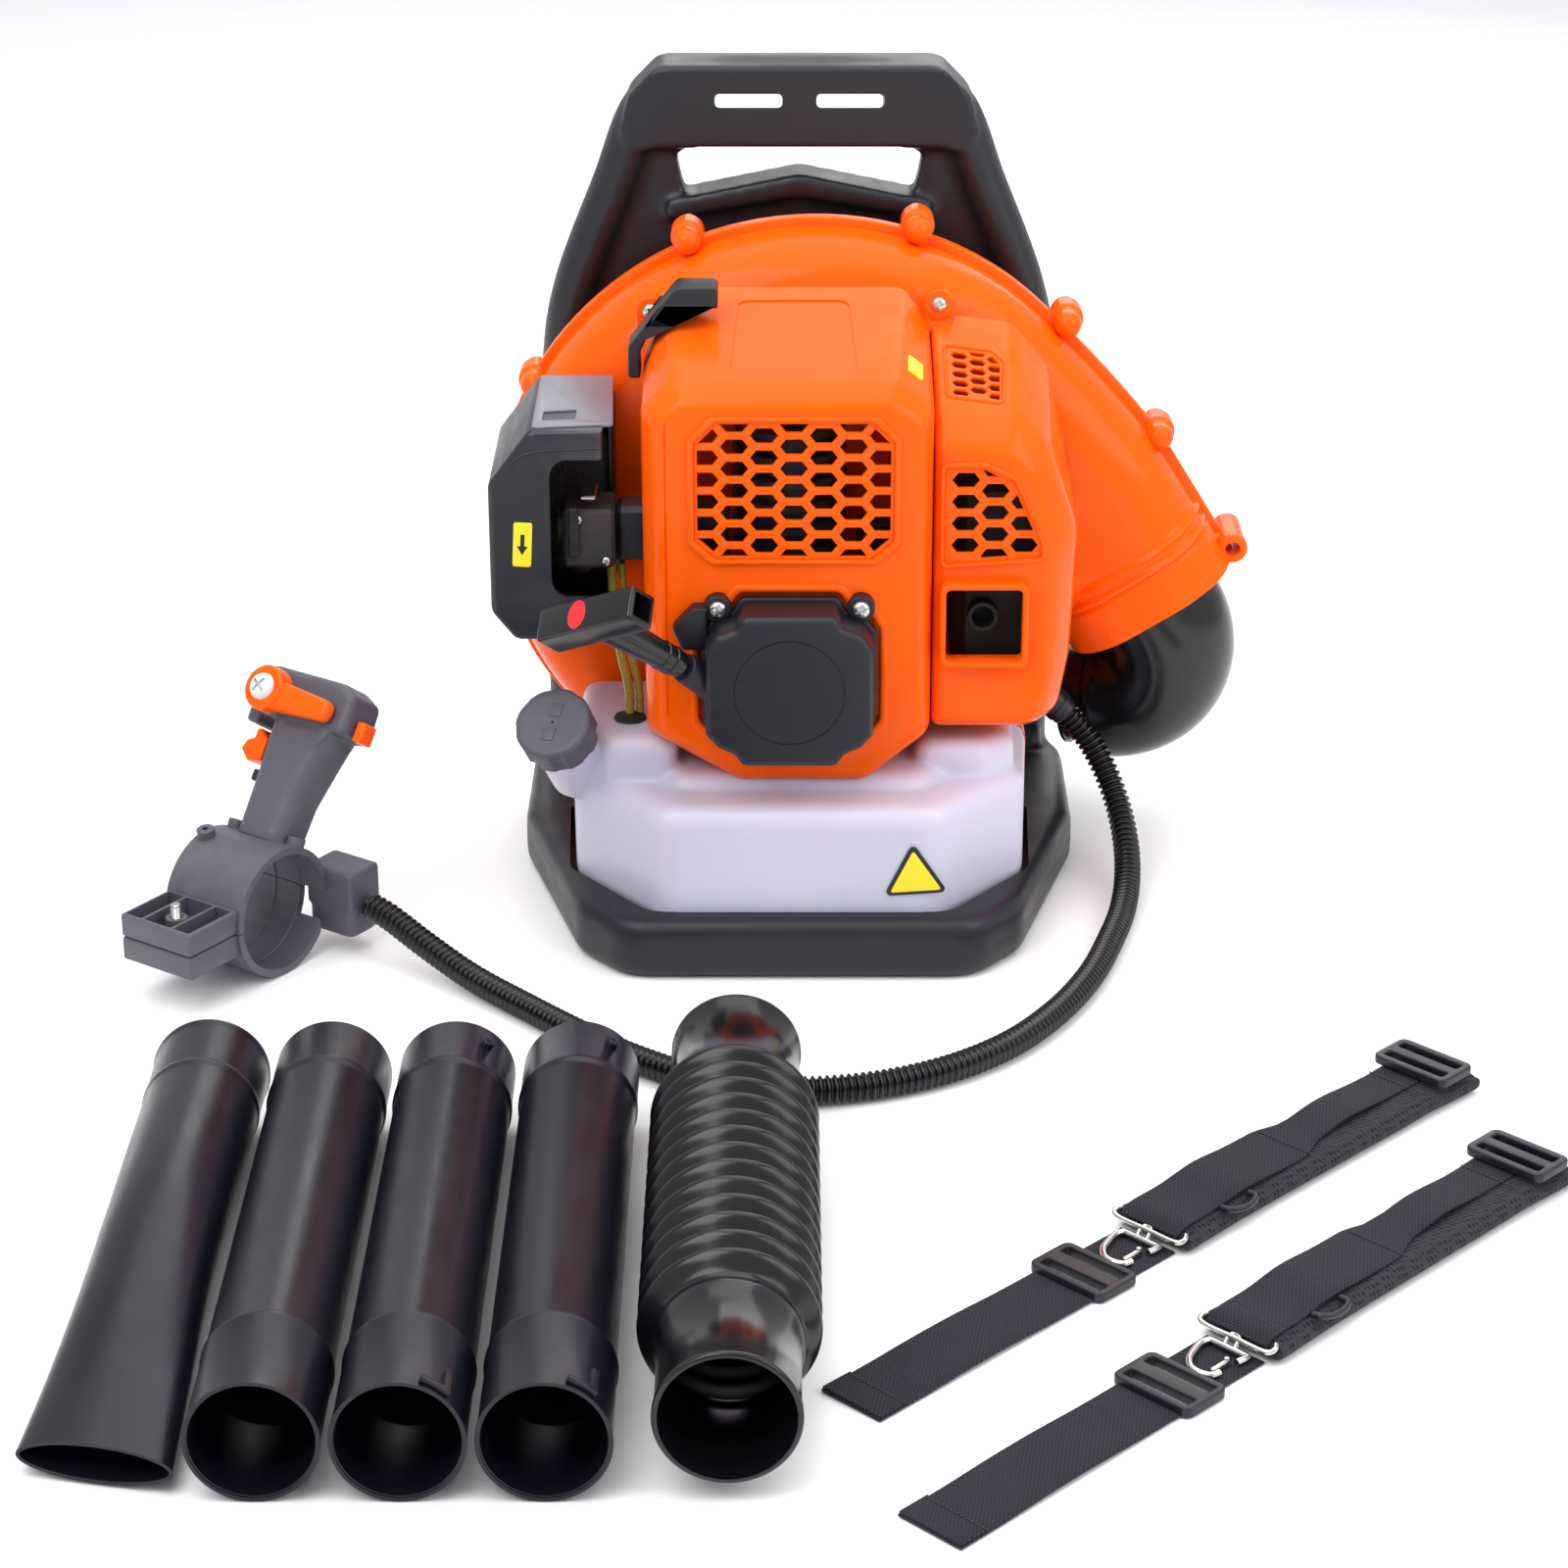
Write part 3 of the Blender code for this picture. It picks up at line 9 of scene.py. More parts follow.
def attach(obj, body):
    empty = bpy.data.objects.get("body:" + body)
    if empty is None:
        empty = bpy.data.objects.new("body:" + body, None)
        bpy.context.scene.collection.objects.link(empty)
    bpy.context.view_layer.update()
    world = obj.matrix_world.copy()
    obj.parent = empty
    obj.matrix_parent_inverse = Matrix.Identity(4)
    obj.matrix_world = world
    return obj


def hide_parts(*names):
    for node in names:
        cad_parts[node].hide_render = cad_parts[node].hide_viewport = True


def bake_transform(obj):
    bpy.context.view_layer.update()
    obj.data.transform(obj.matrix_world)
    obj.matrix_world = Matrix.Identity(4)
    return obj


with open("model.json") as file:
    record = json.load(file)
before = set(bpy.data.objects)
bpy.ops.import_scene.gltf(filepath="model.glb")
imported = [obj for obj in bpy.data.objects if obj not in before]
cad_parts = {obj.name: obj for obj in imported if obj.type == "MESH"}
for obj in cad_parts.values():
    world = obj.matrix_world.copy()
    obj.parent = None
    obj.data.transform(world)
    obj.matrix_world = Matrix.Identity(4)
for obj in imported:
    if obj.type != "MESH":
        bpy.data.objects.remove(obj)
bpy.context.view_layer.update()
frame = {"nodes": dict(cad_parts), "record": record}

# Driving sizes, in metres, shared with the CAD model
AXIS_X = -0.006                     # crank axis, parallel to Y
AXIS_Z = 0.174
SPLIT_Y = 0.047                     # where the two fan housing halves meet
SCROLL_R_MIN = 0.1374
SCROLL_R_GROWTH = 0.080
SCROLL_START = math.radians(-75)    # spiral angles run clockwise from straight down
SCROLL_END = math.radians(215)
OUTLET_AXIS = Vector((0.529, 0.0, -0.849)).normalized()
OUTLET_CENTRE = Vector((0.2107, SPLIT_Y, 0.1567))
OUTLET_WIDTH = 0.106
ELBOW_RADIUS = 0.040
ELBOW_BEND = 0.042
ELBOW_TURN = math.radians(115)
ELBOW_SIDE = Vector((-0.790, 0.370, -0.490)).normalized()
COVER_FRONT = -0.118
COVER_REAR = -0.012
STARTER_FRONT = -0.150
PULL_AXIS = Vector((-0.643, -0.491, 0.588)).normalized()
PULL_START = Vector((-0.052, -0.132, 0.172))
GRIP_AXIS = Vector((0.757, -0.518, 0.396)).normalized()
GRIP_DISTANCE = 0.0917
CONDUIT_RADIUS = 0.008
HANDLE_ORIGIN = Vector((-0.316, -0.137, 0.0385))
HANDLE_ALONG = Vector((0.821, -0.571, 0.0)).normalized()
HANDLE_ACROSS = Vector((0.571, 0.821, 0.0)).normalized()
HANDLE_LEAN = math.radians(55)
CLAMP_INNER = 0.034
CLAMP_OUTER = 0.038
CLAMP_HALF_WIDTH = 0.028
TUBE_RADIUS = 0.031
TUBE_LENGTH = 0.355
TUBE_FAR_Y = -0.335
BELLOWS_RADIUS = 0.043
CUFF_RADIUS = 0.034
STRAP_STARTS = (Vector((0.022, -0.612, 0.0)), Vector((0.055, -0.715, 0.0)))
STRAP_DIRECTION = Vector((0.703, 0.711, 0.0)).normalized()
WEBBING_WIDTH = 0.038
UP = Vector((0, 0, 1))
RIGHT = Vector((1, 0, 0))
BACKWARDS = Vector((0, 1, 0))
FORWARDS = (0, -1, 0)               # the way most screw heads face
SIDES = ((-1, "left"), (1, "right"))
CLEARANCE = 0.0003                  # loose pieces stand this far off the floor

CAMERA_PLACE = (-0.009, -2.171, 0.987)
CAMERA_LENS = 90                    # millimetres, as the sensor's width
CAMERA_SENSOR = 36
CAMERA_DIP = 23.3                   # degrees below level

CONDUIT_PITCH = 0.0040
CONDUIT_RIB = 0.0021                # depth of a rib
HOUSING_WALL = 0.0028
ELBOW_WALL = 0.0024
COVER_WALL = 0.0025
TUBE_WALL = 0.0018
SCROLL_STEPS = 110
SPLIT_CLEARANCE = 0.0003
HOUSING_FOOT_X = 0.126
STARTER_REAR = -0.1186
STARTER_SCREW = (0.0400, -0.1262, 0.2120)    # from the crank axis outwards, and in Y and Z
ROPE_RADIUS = 0.0017
ROPE_STEPS = 80
TUBE_PLACES = (-0.2455, -0.1805, -0.1155)
TUBE_SIDES = 72
NOZZLE_LENGTH = 0.350
NOZZLE_SLANT = 0.016
CONVOLUTIONS = 13
CONVOLUTION_STEPS = 12
BELLOWS_VALLEY = 0.0345
BELLOWS_X = -0.034
CUFF_LENGTH = 0.0680
STITCH_SIZE = (0.0007, 0.0021, 0.0006)
STITCH_PITCH = 0.0030
STITCHES = 12
STITCH_START = -0.0165
HOOK_Z = 0.0038
HOOK_WIRE = 0.0018
CLOTH_QUALITY = 5
CLOTH_MASS = 0.2
CLOTH_PRESSURE = 4.0
CLOTH_FRAMES = 20

# Route of the throttle conduit, from the engine's gland round to the handle's cable box
CONDUIT_ROUTE = [
    (0.1475, 0.0100, 0.1060), (0.1600, 0.0108, 0.0945), (0.1735, 0.0090, 0.0790),
    (0.1845, 0.0030, 0.0600), (0.1925, -0.0100, 0.0405), (0.1960, -0.0290, 0.0240),
    (0.1950, -0.0530, 0.0135), (0.1900, -0.0850, 0.0088), (0.1800, -0.1250, 0.0083),
    (0.1640, -0.1750, 0.0083), (0.1420, -0.2200, 0.0083), (0.1130, -0.2600, 0.0083),
    (0.0760, -0.2900, 0.0083), (0.0330, -0.3080, 0.0083), (-0.0100, -0.3120, 0.0083),
    (-0.0520, -0.3000, 0.0083), (-0.0900, -0.2750, 0.0083), (-0.1230, -0.2440, 0.0083),
    (-0.1540, -0.2110, 0.0083), (-0.1850, -0.1800, 0.0105), (-0.2130, -0.1535, 0.0180),
    (-0.2370, -0.1320, 0.0266), (-0.2478, -0.1247, 0.0300),
]
FUEL_LINE_ROUTE = [
    (-0.0980, -0.0735, 0.1290), (-0.0985, -0.0745, 0.1450), (-0.1020, -0.0780, 0.1650),
    (-0.1050, -0.0800, 0.1850), (-0.1062, -0.0790, 0.2050), (-0.1070, -0.0785, 0.2215),
]

scene = bpy.context.scene


# ---------------------------------------------------------------- materials

class Shader:
    """A Principled material whose details are built from a few procedural nodes."""

    def __init__(self, name, colour, roughness, metallic=0.0, **sockets):
        self.material = bpy.data.materials.new(name)
        self.material.use_nodes = True
        self.tree = self.material.node_tree
        self.shader = self.tree.nodes["Principled BSDF"]
        self.colour = colour
        self.roughness = roughness
        self.shader.inputs["Base Color"].default_value = (*colour, 1.0)
        self.shader.inputs["Roughness"].default_value = roughness
        self.shader.inputs["Metallic"].default_value = metallic
        for socket, value in sockets.items():
            self.shader.inputs[socket.replace("_", " ")].default_value = value
        self.place = self.node("ShaderNodeTexCoord").outputs["Object"]
        self.bump_end = None

    def node(self, kind, **settings):
        """Add a node of one kind with its settings."""
        made = self.tree.nodes.new(kind)
        for key, value in settings.items():
            setattr(made, key, value)
        return made

    def link(self, source, target):
        """Join an output to an input."""
        self.tree.links.new(source, target)

    def mapped(self, rotation=(0, 0, 0), scale=(1, 1, 1)):
        """The object's own coordinates, turned and scaled."""
        mapping = self.node("ShaderNodeMapping")
        mapping.inputs["Rotation"].default_value = rotation
        mapping.inputs["Scale"].default_value = scale
        self.link(self.place, mapping.inputs["Vector"])
        return mapping.outputs["Vector"]

    def noise(self, scale, detail=4.0, place=None):
        """Noise over the object, or over other coordinates."""
        made = self.node("ShaderNodeTexNoise")
        made.inputs["Scale"].default_value = scale
        made.inputs["Detail"].default_value = detail
        self.link(place or self.place, made.inputs["Vector"])
        return made.outputs["Fac"]

    def ramp(self, source, low, high, out_low=0.0, out_high=1.0):
        """A value carried from one range to another."""
        made = self.node("ShaderNodeMapRange")
        made.inputs["From Min"].default_value = low
        made.inputs["From Max"].default_value = high
        made.inputs["To Min"].default_value = out_low
        made.inputs["To Max"].default_value = out_high
        self.link(source, made.inputs["Value"])
        return made.outputs["Result"]

    def math(self, operation, first, second=None):
        """A sum or comparison of values or outputs."""
        made = self.node("ShaderNodeMath", operation=operation)
        for socket, value in zip(made.inputs, (first, second)):
            if value is None:
                continue
            if isinstance(value, (int, float)):
                socket.default_value = value
            else:
                self.link(value, socket)
        return made.outputs[0]

    def tint(self, factor, colour):
        """Blend another colour over the base colour where factor is high."""
        mix = self.node("ShaderNodeMix", data_type="RGBA")
        self.link(factor, mix.inputs[0])
        base = self.shader.inputs["Base Color"]
        if base.is_linked:
            self.link(base.links[0].from_socket, mix.inputs[6])
        else:
            mix.inputs[6].default_value = (*self.colour, 1.0)
        mix.inputs[7].default_value = (*colour, 1.0)
        self.link(mix.outputs[2], base)

    def bump(self, height, strength, distance=0.001):
        """Relief from a height, on top of any relief before it."""
        made = self.node("ShaderNodeBump")
        made.inputs["Strength"].default_value = strength
        made.inputs["Distance"].default_value = distance
        self.link(height, made.inputs["Height"])
        if self.bump_end:
            self.link(self.bump_end, made.inputs["Normal"])
        self.bump_end = made.outputs["Normal"]
        self.link(self.bump_end, self.shader.inputs["Normal"])

    def rough(self, factor, low, high):
        """Let the roughness follow a factor between two values."""
        self.link(self.ramp(factor, 0.3, 0.7, low, high), self.shader.inputs["Roughness"])

    def mottle(self, scale, share):
        """A faint drift of the colour, as moulded and handled surfaces have."""
        darker = [channel * (1 - share) for channel in self.colour]
        self.tint(self.ramp(self.noise(scale, 5.0), 0.35, 0.75), darker)

    def edges(self, colour, amount):
        """Rubbed edges: a lighter colour where the surface turns sharply outwards."""
        point = self.node("ShaderNodeNewGeometry").outputs["Pointiness"]
        worn = self.math("MULTIPLY", self.ramp(point, 0.52, 0.62), self.ramp(self.noise(60.0), 0.35, 0.6))
        self.tint(self.math("MULTIPLY", worn, amount), colour)

    def scratches(self, rotation, low, high, strength):
        """Fine rubbing marks that run one way."""
        lines = self.noise(26.0, 6.0, self.mapped(rotation, (1, 1, 22)))
        self.rough(lines, low, high)
        self.bump(lines, strength, 0.0002)

    def weave(self, turn, pitch_along, pitch_across):
        """Height of a plain weave whose yarns run at an angle in the floor's plane."""
        split = self.node("ShaderNodeSeparateXYZ")
        self.link(self.mapped((0, 0, -turn)), split.inputs[0])
        along = self.math("MULTIPLY", split.outputs[0], 2 * math.pi / pitch_along)
        row = self.math("MULTIPLY", split.outputs[1], 1 / pitch_across)
        shift = self.math("MULTIPLY", self.math("FLOOR", row), math.pi)
        over = self.math("SINE", self.math("ADD", along, shift))
        yarn = self.math("ABSOLUTE", self.math("SINE", self.math("MULTIPLY", row, math.pi)))
        return self.math("MULTIPLY", self.ramp(over, -1.0, 1.0), yarn)


def moulded(name, colour, roughness, grain, share=0.10, scuffs=0.10, **sockets):
    """Moulded plastic or rubber: mottled colour, a fine grain, and rubbing in its gloss."""
    look = Shader(name, colour, roughness, **sockets)
    look.mottle(9.0, share)
    rubbing = look.noise(34.0, 8.0, look.mapped((0.4, 0.3, 0.8), (1, 1, 5)))
    look.rough(rubbing, roughness - scuffs / 3, roughness + scuffs)
    look.bump(look.noise(1400.0, 2.0), grain, 0.0002)
    look.bump(look.noise(42.0, 2.0), grain * 0.25, 0.0004)
    return look


STRAP_TURN = math.atan2(STRAP_DIRECTION.y, STRAP_DIRECTION.x)


def make_looks():
    """Every material, named after the record's slot that it belongs to."""
    looks = {}
    orange = moulded("orange_shell", (0.98, 0.108, 0.002), 0.17, 0.03, share=0.10, scuffs=0.06,
                     Coat_Weight=0.04, Coat_Roughness=0.06, Specular_IOR_Level=0.12)
    orange.edges((1.0, 0.24, 0.05), 0.25)
    looks["orange_shell"] = orange
    gloss = moulded("black_gloss", (0.006, 0.006, 0.008), 0.19, 0.05, share=0.25, scuffs=0.07,
                    Specular_IOR_Level=0.45)
    looks["black_gloss"] = gloss
    black = moulded("black_moulded", (0.010, 0.010, 0.015), 0.38, 0.20, share=0.25, scuffs=0.10,
                    Specular_IOR_Level=0.42)
    black.edges((0.040, 0.040, 0.050), 0.4)
    looks["black_moulded"] = black
    looks["tube_black"] = moulded("tube_black", (0.005, 0.005, 0.011), 0.30, 0.12, share=0.2, scuffs=0.07,
                                  Specular_IOR_Level=0.38)
    looks["bellows_black"] = moulded("bellows_black", (0.004, 0.004, 0.006), 0.19, 0.04, share=0.2,
                                     scuffs=0.05,
                                     Specular_IOR_Level=0.45)
    starter = moulded("starter_black", (0.011, 0.011, 0.017), 0.40, 0.25, share=0.2, scuffs=0.08,
                      Specular_IOR_Level=0.40)
    looks["starter_black"] = starter
    filter_black = moulded("filter_black", (0.013, 0.013, 0.019), 0.32, 0.12, share=0.2, scuffs=0.08,
                           Specular_IOR_Level=0.45)
    filter_black.edges((0.09, 0.09, 0.10), 0.5)
    looks["filter_black"] = filter_black
    # The lid's light grey is much lighter than the black filter cover. It is a painted reflection of the
    # bright surroundings on the lid's glossy top.
    looks["lid_painted_reflection_grey"] = moulded("lid_painted_reflection_grey", (0.17, 0.17, 0.205), 0.30, 0.20, share=0.12, scuffs=0.08)
    grey = moulded("handle_grey", (0.080, 0.078, 0.102), 0.46, 0.45, share=0.25, scuffs=0.10)
    grey.scratches((0.2, 0.5, 0.0), 0.42, 0.62, 0.15)
    grey.edges((0.11, 0.11, 0.12), 0.5)
    looks["handle_grey"] = grey
    tank = moulded("tank_white", (0.60, 0.575, 0.715), 0.34, 0.10, share=0.06, scuffs=0.10,
                   Subsurface_Weight=0.40, Subsurface_Scale=0.02, Coat_Weight=0.10, Coat_Roughness=0.2)
    looks["tank_white"] = tank
    looks["rubber_black"] = moulded("rubber_black", (0.012, 0.012, 0.013), 0.62, 0.35, share=0.3)
    cast = Shader("cast_alloy", (0.44, 0.44, 0.45), 0.42, 0.95)
    cast.mottle(30.0, 0.35)
    cast.bump(cast.noise(900.0, 3.0), 0.5, 0.0004)
    cast.rough(cast.noise(25.0), 0.35, 0.55)
    looks["cast_alloy"] = cast
    # Darker copies of the metal for the engine parts inside the covers. The cast parts are painted shade, not
    # the alloy's own colour. The muffler's own dark metal is deepened to near black as painted shade.
    for name, colour in (("cast_painted_shade", (0.050, 0.046, 0.046)), ("muffler_dark_painted_shade", (0.010, 0.009, 0.009))):
        dark = Shader(name, colour, 0.60, 0.35)
        dark.mottle(40.0, 0.4)
        dark.bump(dark.noise(800.0, 3.0), 0.5, 0.0004)
        dark.rough(dark.noise(30.0), 0.5, 0.75)
        looks[name] = dark
    steel = Shader("steel", (0.62, 0.61, 0.59), 0.16, 1.0)
    steel.mottle(50.0, 0.2)
    steel.rough(steel.noise(120.0, 6.0), 0.10, 0.28)
    steel.bump(steel.noise(700.0, 2.0), 0.05, 0.0002)
    looks["steel"] = steel
    hose = moulded("fuel_hose", (0.42, 0.34, 0.035), 0.22, 0.05, share=0.3, Transmission_Weight=0.25)
    looks["fuel_hose"] = hose
    foam = Shader("foam_black", (0.020, 0.020, 0.022), 0.95)
    cells = foam.node("ShaderNodeTexVoronoi")
    cells.inputs["Scale"].default_value = 900.0
    foam.link(foam.place, cells.inputs["Vector"])
    foam.bump(cells.outputs["Distance"], 0.9, 0.001)
    foam.tint(cells.outputs["Distance"], (0.05, 0.05, 0.055))
    looks["foam_black"] = foam
    for name, along, across, colour in (("webbing", 0.0030, 0.0011, (0.009, 0.009, 0.014)),
                                        ("pad_fabric", 0.0014, 0.0010, (0.006, 0.006, 0.008))):
        cloth = Shader(name, colour, 0.80, Sheen_Weight=0.05, Sheen_Roughness=0.5, Specular_IOR_Level=0.22)
        threads = cloth.weave(STRAP_TURN, along, across)
        cloth.tint(threads, [channel * 3.2 for channel in colour])
        cloth.bump(threads, 0.8, 0.0006)
        cloth.bump(cloth.noise(2600.0, 2.0), 0.35, 0.0003)
        cloth.tint(cloth.ramp(cloth.noise(18.0, 6.0), 0.5, 0.75), [channel * 2.0 for channel in colour])
        looks[name] = cloth
    mesh = Shader("air_mesh", (0.006, 0.006, 0.008), 0.75, Sheen_Weight=0.06, Sheen_Roughness=0.5,
                  Specular_IOR_Level=0.22)
    holes = mesh.node("ShaderNodeTexVoronoi")
    holes.inputs["Scale"].default_value = 420.0
    holes.inputs["Randomness"].default_value = 0.25
    mesh.link(mesh.mapped((0, 0, -STRAP_TURN), (0.6, 1, 1)), holes.inputs["Vector"])
    pits = mesh.ramp(holes.outputs["Distance"], 0.25, 0.5)
    mesh.tint(pits, (0.024, 0.024, 0.030))
    mesh.bump(pits, 0.9, 0.0010)
    looks["air_mesh"] = mesh
    rope = Shader("rope_cord", (0.055, 0.055, 0.055), 0.8)
    plait = rope.node("ShaderNodeTexWave")
    plait.inputs["Scale"].default_value = 260.0
    rope.link(rope.mapped((0.5, 0.3, 0.9)), plait.inputs["Vector"])
    rope.bump(plait.outputs["Fac"], 0.7, 0.0006)
    rope.tint(plait.outputs["Fac"], (0.12, 0.12, 0.12))
    looks["rope_cord"] = rope
    thread = Shader("thread", (0.030, 0.030, 0.036), 0.7)
    thread.bump(thread.noise(3000.0, 2.0), 0.4, 0.0003)
    thread.mottle(300.0, 0.4)
    looks["thread"] = thread
    for name, colour in (("label_yellow", (0.95, 0.72, 0.02)), ("label_black", (0.012, 0.011, 0.010)),
                         ("mark_red", (0.72, 0.012, 0.022)), ("screw_white", (0.70, 0.73, 0.74))):
        looks[name] = moulded(name, colour, 0.35, 0.06, share=0.08, scuffs=0.08)
    return looks


LOOKS = make_looks()
SLOTS = {entry["node"]: entry["material_slot"] for entry in frame["record"]["subparts"]}
# Engine parts inside the covers take the darker copies instead of their own materials: painted shade for the
# shadow inside the housings.
PAINTED_SHADE_INSIDES = {"muffler": "muffler_dark_painted_shade", "cylinder": "cast_painted_shade", "crankcase": "cast_painted_shade",
                "carburetor": "cast_painted_shade", "flywheel": "cast_painted_shade", "spark_plug": "cast_painted_shade"}
for node_name, node_object in frame["nodes"].items():
    node_object.data.materials.clear()
    look = PAINTED_SHADE_INSIDES.get(node_name, SLOTS[node_name])
    node_object.data.materials.append(LOOKS[look].material)


# ---------------------------------------------------------------- geometry helpers

def shape_from(bm):
    """An object from a bmesh, welded and facing outwards."""
    bmesh.ops.remove_doubles(bm, verts=bm.verts, dist=1e-6)
    bmesh.ops.recalc_face_normals(bm, faces=bm.faces)
    mesh = bpy.data.meshes.new("shape")
    bm.to_mesh(mesh)
    bm.free()
    obj = bpy.data.objects.new("shape", mesh)
    scene.collection.objects.link(obj)
    return obj


def applied(obj):
    """The object with its modifiers applied; a curve turns into a mesh."""
    bpy.context.view_layer.update()
    mesh = bpy.data.meshes.new_from_object(obj.evaluated_get(bpy.context.evaluated_depsgraph_get()))
    mesh.transform(obj.matrix_world)
    bm = bmesh.new()
    bm.from_mesh(mesh)
    bpy.data.objects.remove(obj, do_unlink=True)
    return shape_from(bm)


def keep(obj, name, look, body="root", replaces=(), angle=35):
    """Finish a shape as a piece of the object: name, material, body and the nodes it stands for."""
    obj.name = name
    obj.data.name = name
    obj.data.materials.clear()
    obj.data.materials.append(LOOKS[look].material)
    obj.data.shade_smooth()
    obj.data.set_sharp_from_angle(angle=math.radians(angle))
    if body:
        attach(obj, body)
    if replaces:
        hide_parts(*replaces)
    return obj


def moved(obj, matrix):
    """Move a shape; a mirroring matrix would turn it inside out, so its faces are flipped back."""
    obj.data.transform(matrix)
    if matrix.determinant() < 0:
        obj.data.flip_normals()
    return obj


def joined(shapes):
    """One object that holds several meshes side by side."""
    bm = bmesh.new()
    for obj in shapes:
        bm.from_mesh(obj.data)
        bpy.data.objects.remove(obj, do_unlink=True)
    return shape_from(bm)


def combine(obj, others, operation="DIFFERENCE"):
    """Cut or join by exact Boolean; the other shapes are used up."""
    for other in others:
        boolean = obj.modifiers.new("boolean", "BOOLEAN")
        boolean.operation = operation
        boolean.solver = "EXACT"
        boolean.object = other
        obj = applied(obj)
        bpy.data.objects.remove(other, do_unlink=True)
    return obj


def softened(obj, width, segments=3, angle=30):
    """Round the sharp edges of a shape."""
    bevel = obj.modifiers.new("bevel", "BEVEL")
    bevel.width = width
    bevel.segments = segments
    bevel.limit_method = "ANGLE"
    bevel.angle_limit = math.radians(angle)
    return applied(obj)


def blown(shapes, voxel, rounds, factor=0.5):
    """Several overlapping shapes melted into one skin with soft edges, as blow moulding leaves them."""
    obj = joined(shapes)
    remesh = obj.modifiers.new("remesh", "REMESH")
    remesh.mode = "VOXEL"
    remesh.voxel_size = voxel
    smooth = obj.modifiers.new("smooth", "SMOOTH")
    smooth.factor = factor
    smooth.iterations = rounds
    return applied(obj)


def frame_matrix(origin, along, across, up):
    """The matrix that takes local X, Y and Z to three world directions."""
    return Matrix.Translation(origin) @ Matrix((along, across, up)).transposed().to_4x4()


def facing(origin, direction):
    """A frame at a point whose Z runs along a direction."""
    return Matrix.Translation(origin) @ Vector((0, 0, 1)).rotation_difference(direction).to_matrix().to_4x4()


def block(low, high, bevel=0.0, segments=3, matrix=None):
    """A box between two corners, with round edges."""
    bm = bmesh.new()
    bmesh.ops.create_cube(bm, size=1.0)
    size = Vector(high) - Vector(low)
    middle = (Vector(high) + Vector(low)) / 2
    bmesh.ops.transform(bm, matrix=Matrix.Translation(middle) @ Matrix.Diagonal((*size, 1.0)), verts=bm.verts)
    if bevel:
        bmesh.ops.bevel(bm, geom=bm.edges[:], offset=bevel, segments=segments, profile=0.5, affect="EDGES")
    obj = shape_from(bm)
    return moved(obj, matrix) if matrix else obj


def walled(obj, thickness):
    """A skin given a wall, inwards from its outside."""
    wall = obj.modifiers.new("wall", "SOLIDIFY")
    wall.thickness = thickness
    wall.offset = -1.0
    return applied(obj)


def turns(count):
    """The angles of equal steps round a circle."""
    return [2 * math.pi * index / count for index in range(count)]


def from_middle(outline, distance):
    """An outline with each point moved straight away from the outline's middle."""
    middle = sum((Vector(point) for point in outline), Vector((0, 0))) / len(outline)
    rays = [Vector(point) - middle for point in outline]
    return [tuple(middle + ray * (1 + distance / ray.length)) for ray in rays]


def skin(rows, caps=(False, False), loop=False):
    """Faces between rings of equally many points."""
    bm = bmesh.new()
    made = [[bm.verts.new(point) for point in row] for row in rows]
    pairs = list(zip(made, made[1:]))
    if loop:
        pairs.append((made[-1], made[0]))
    count = len(rows[0])
    for row, following in pairs:
        for index in range(count):
            after = (index + 1) % count
            bm.faces.new((row[index], row[after], following[after], following[index]))
    if caps[0]:
        bm.faces.new(made[0])
    if caps[1]:
        bm.faces.new(made[-1])
    return shape_from(bm)


def ring(centre, across, up, wide, high, count):
    """Points round an ellipse in the plane of two directions."""
    return [centre + across * wide * math.cos(turn) + up * high * math.sin(turn) for turn in turns(count)]


def lathe(profile, matrix=None, sides=64, loop=False):
    """A radius and height profile turned round Z."""
    rows = [ring(UP * height, RIGHT, BACKWARDS, radius, radius, sides) for radius, height in profile]
    obj = skin(rows, loop=loop)
    return moved(obj, matrix) if matrix else obj


def rod(start, end, radius, radius_end=None, sides=32, round_end=0.0):
    """A cylinder or cone between two points, its far end rounded if asked."""
    start = Vector(start)
    end = Vector(end)
    length = (end - start).length
    tip = radius if radius_end is None else radius_end
    profile = [(0.0, 0.0), (radius, 0.0)]
    for step in range(7):
        turn = math.pi / 2 * step / 6
        profile.append((tip - round_end * (1 - math.cos(turn)), length - round_end * (1 - math.sin(turn))))
    profile.append((0.0, length))
    return lathe(profile, facing(start, end - start), sides)


def rounded(outline, radius, steps=5):
    """An outline whose corners are arcs; radius is one number, or one for each corner."""
    result = []
    for index, corner in enumerate(outline):
        corner = Vector(corner)
        before = Vector(outline[index - 1]) - corner
        after = Vector(outline[(index + 1) % len(outline)]) - corner
        wanted = radius[index] if isinstance(radius, (list, tuple)) else radius
        half = before.angle(after) / 2
        if half > 1.5 or wanted < 1e-5:
            result.append(tuple(corner))
            continue
        reach = min(wanted / math.tan(half), 0.48 * before.length, 0.48 * after.length)
        actual = reach * math.tan(half)
        bisector = (before.normalized() + after.normalized()).normalized()
        centre = corner + bisector * actual / math.sin(half)
        start = corner + before.normalized() * reach - centre
        end = corner + after.normalized() * reach - centre
        for step in range(steps + 1):
            ray = start.lerp(end, step / steps)
            result.append(tuple(centre + ray.normalized() * actual))
    return result


def area_of(outline):
    """The area inside an outline, negative if it runs clockwise."""
    return sum(a[0] * b[1] - b[0] * a[1] for a, b in zip(outline, outline[1:] + outline[:1])) / 2


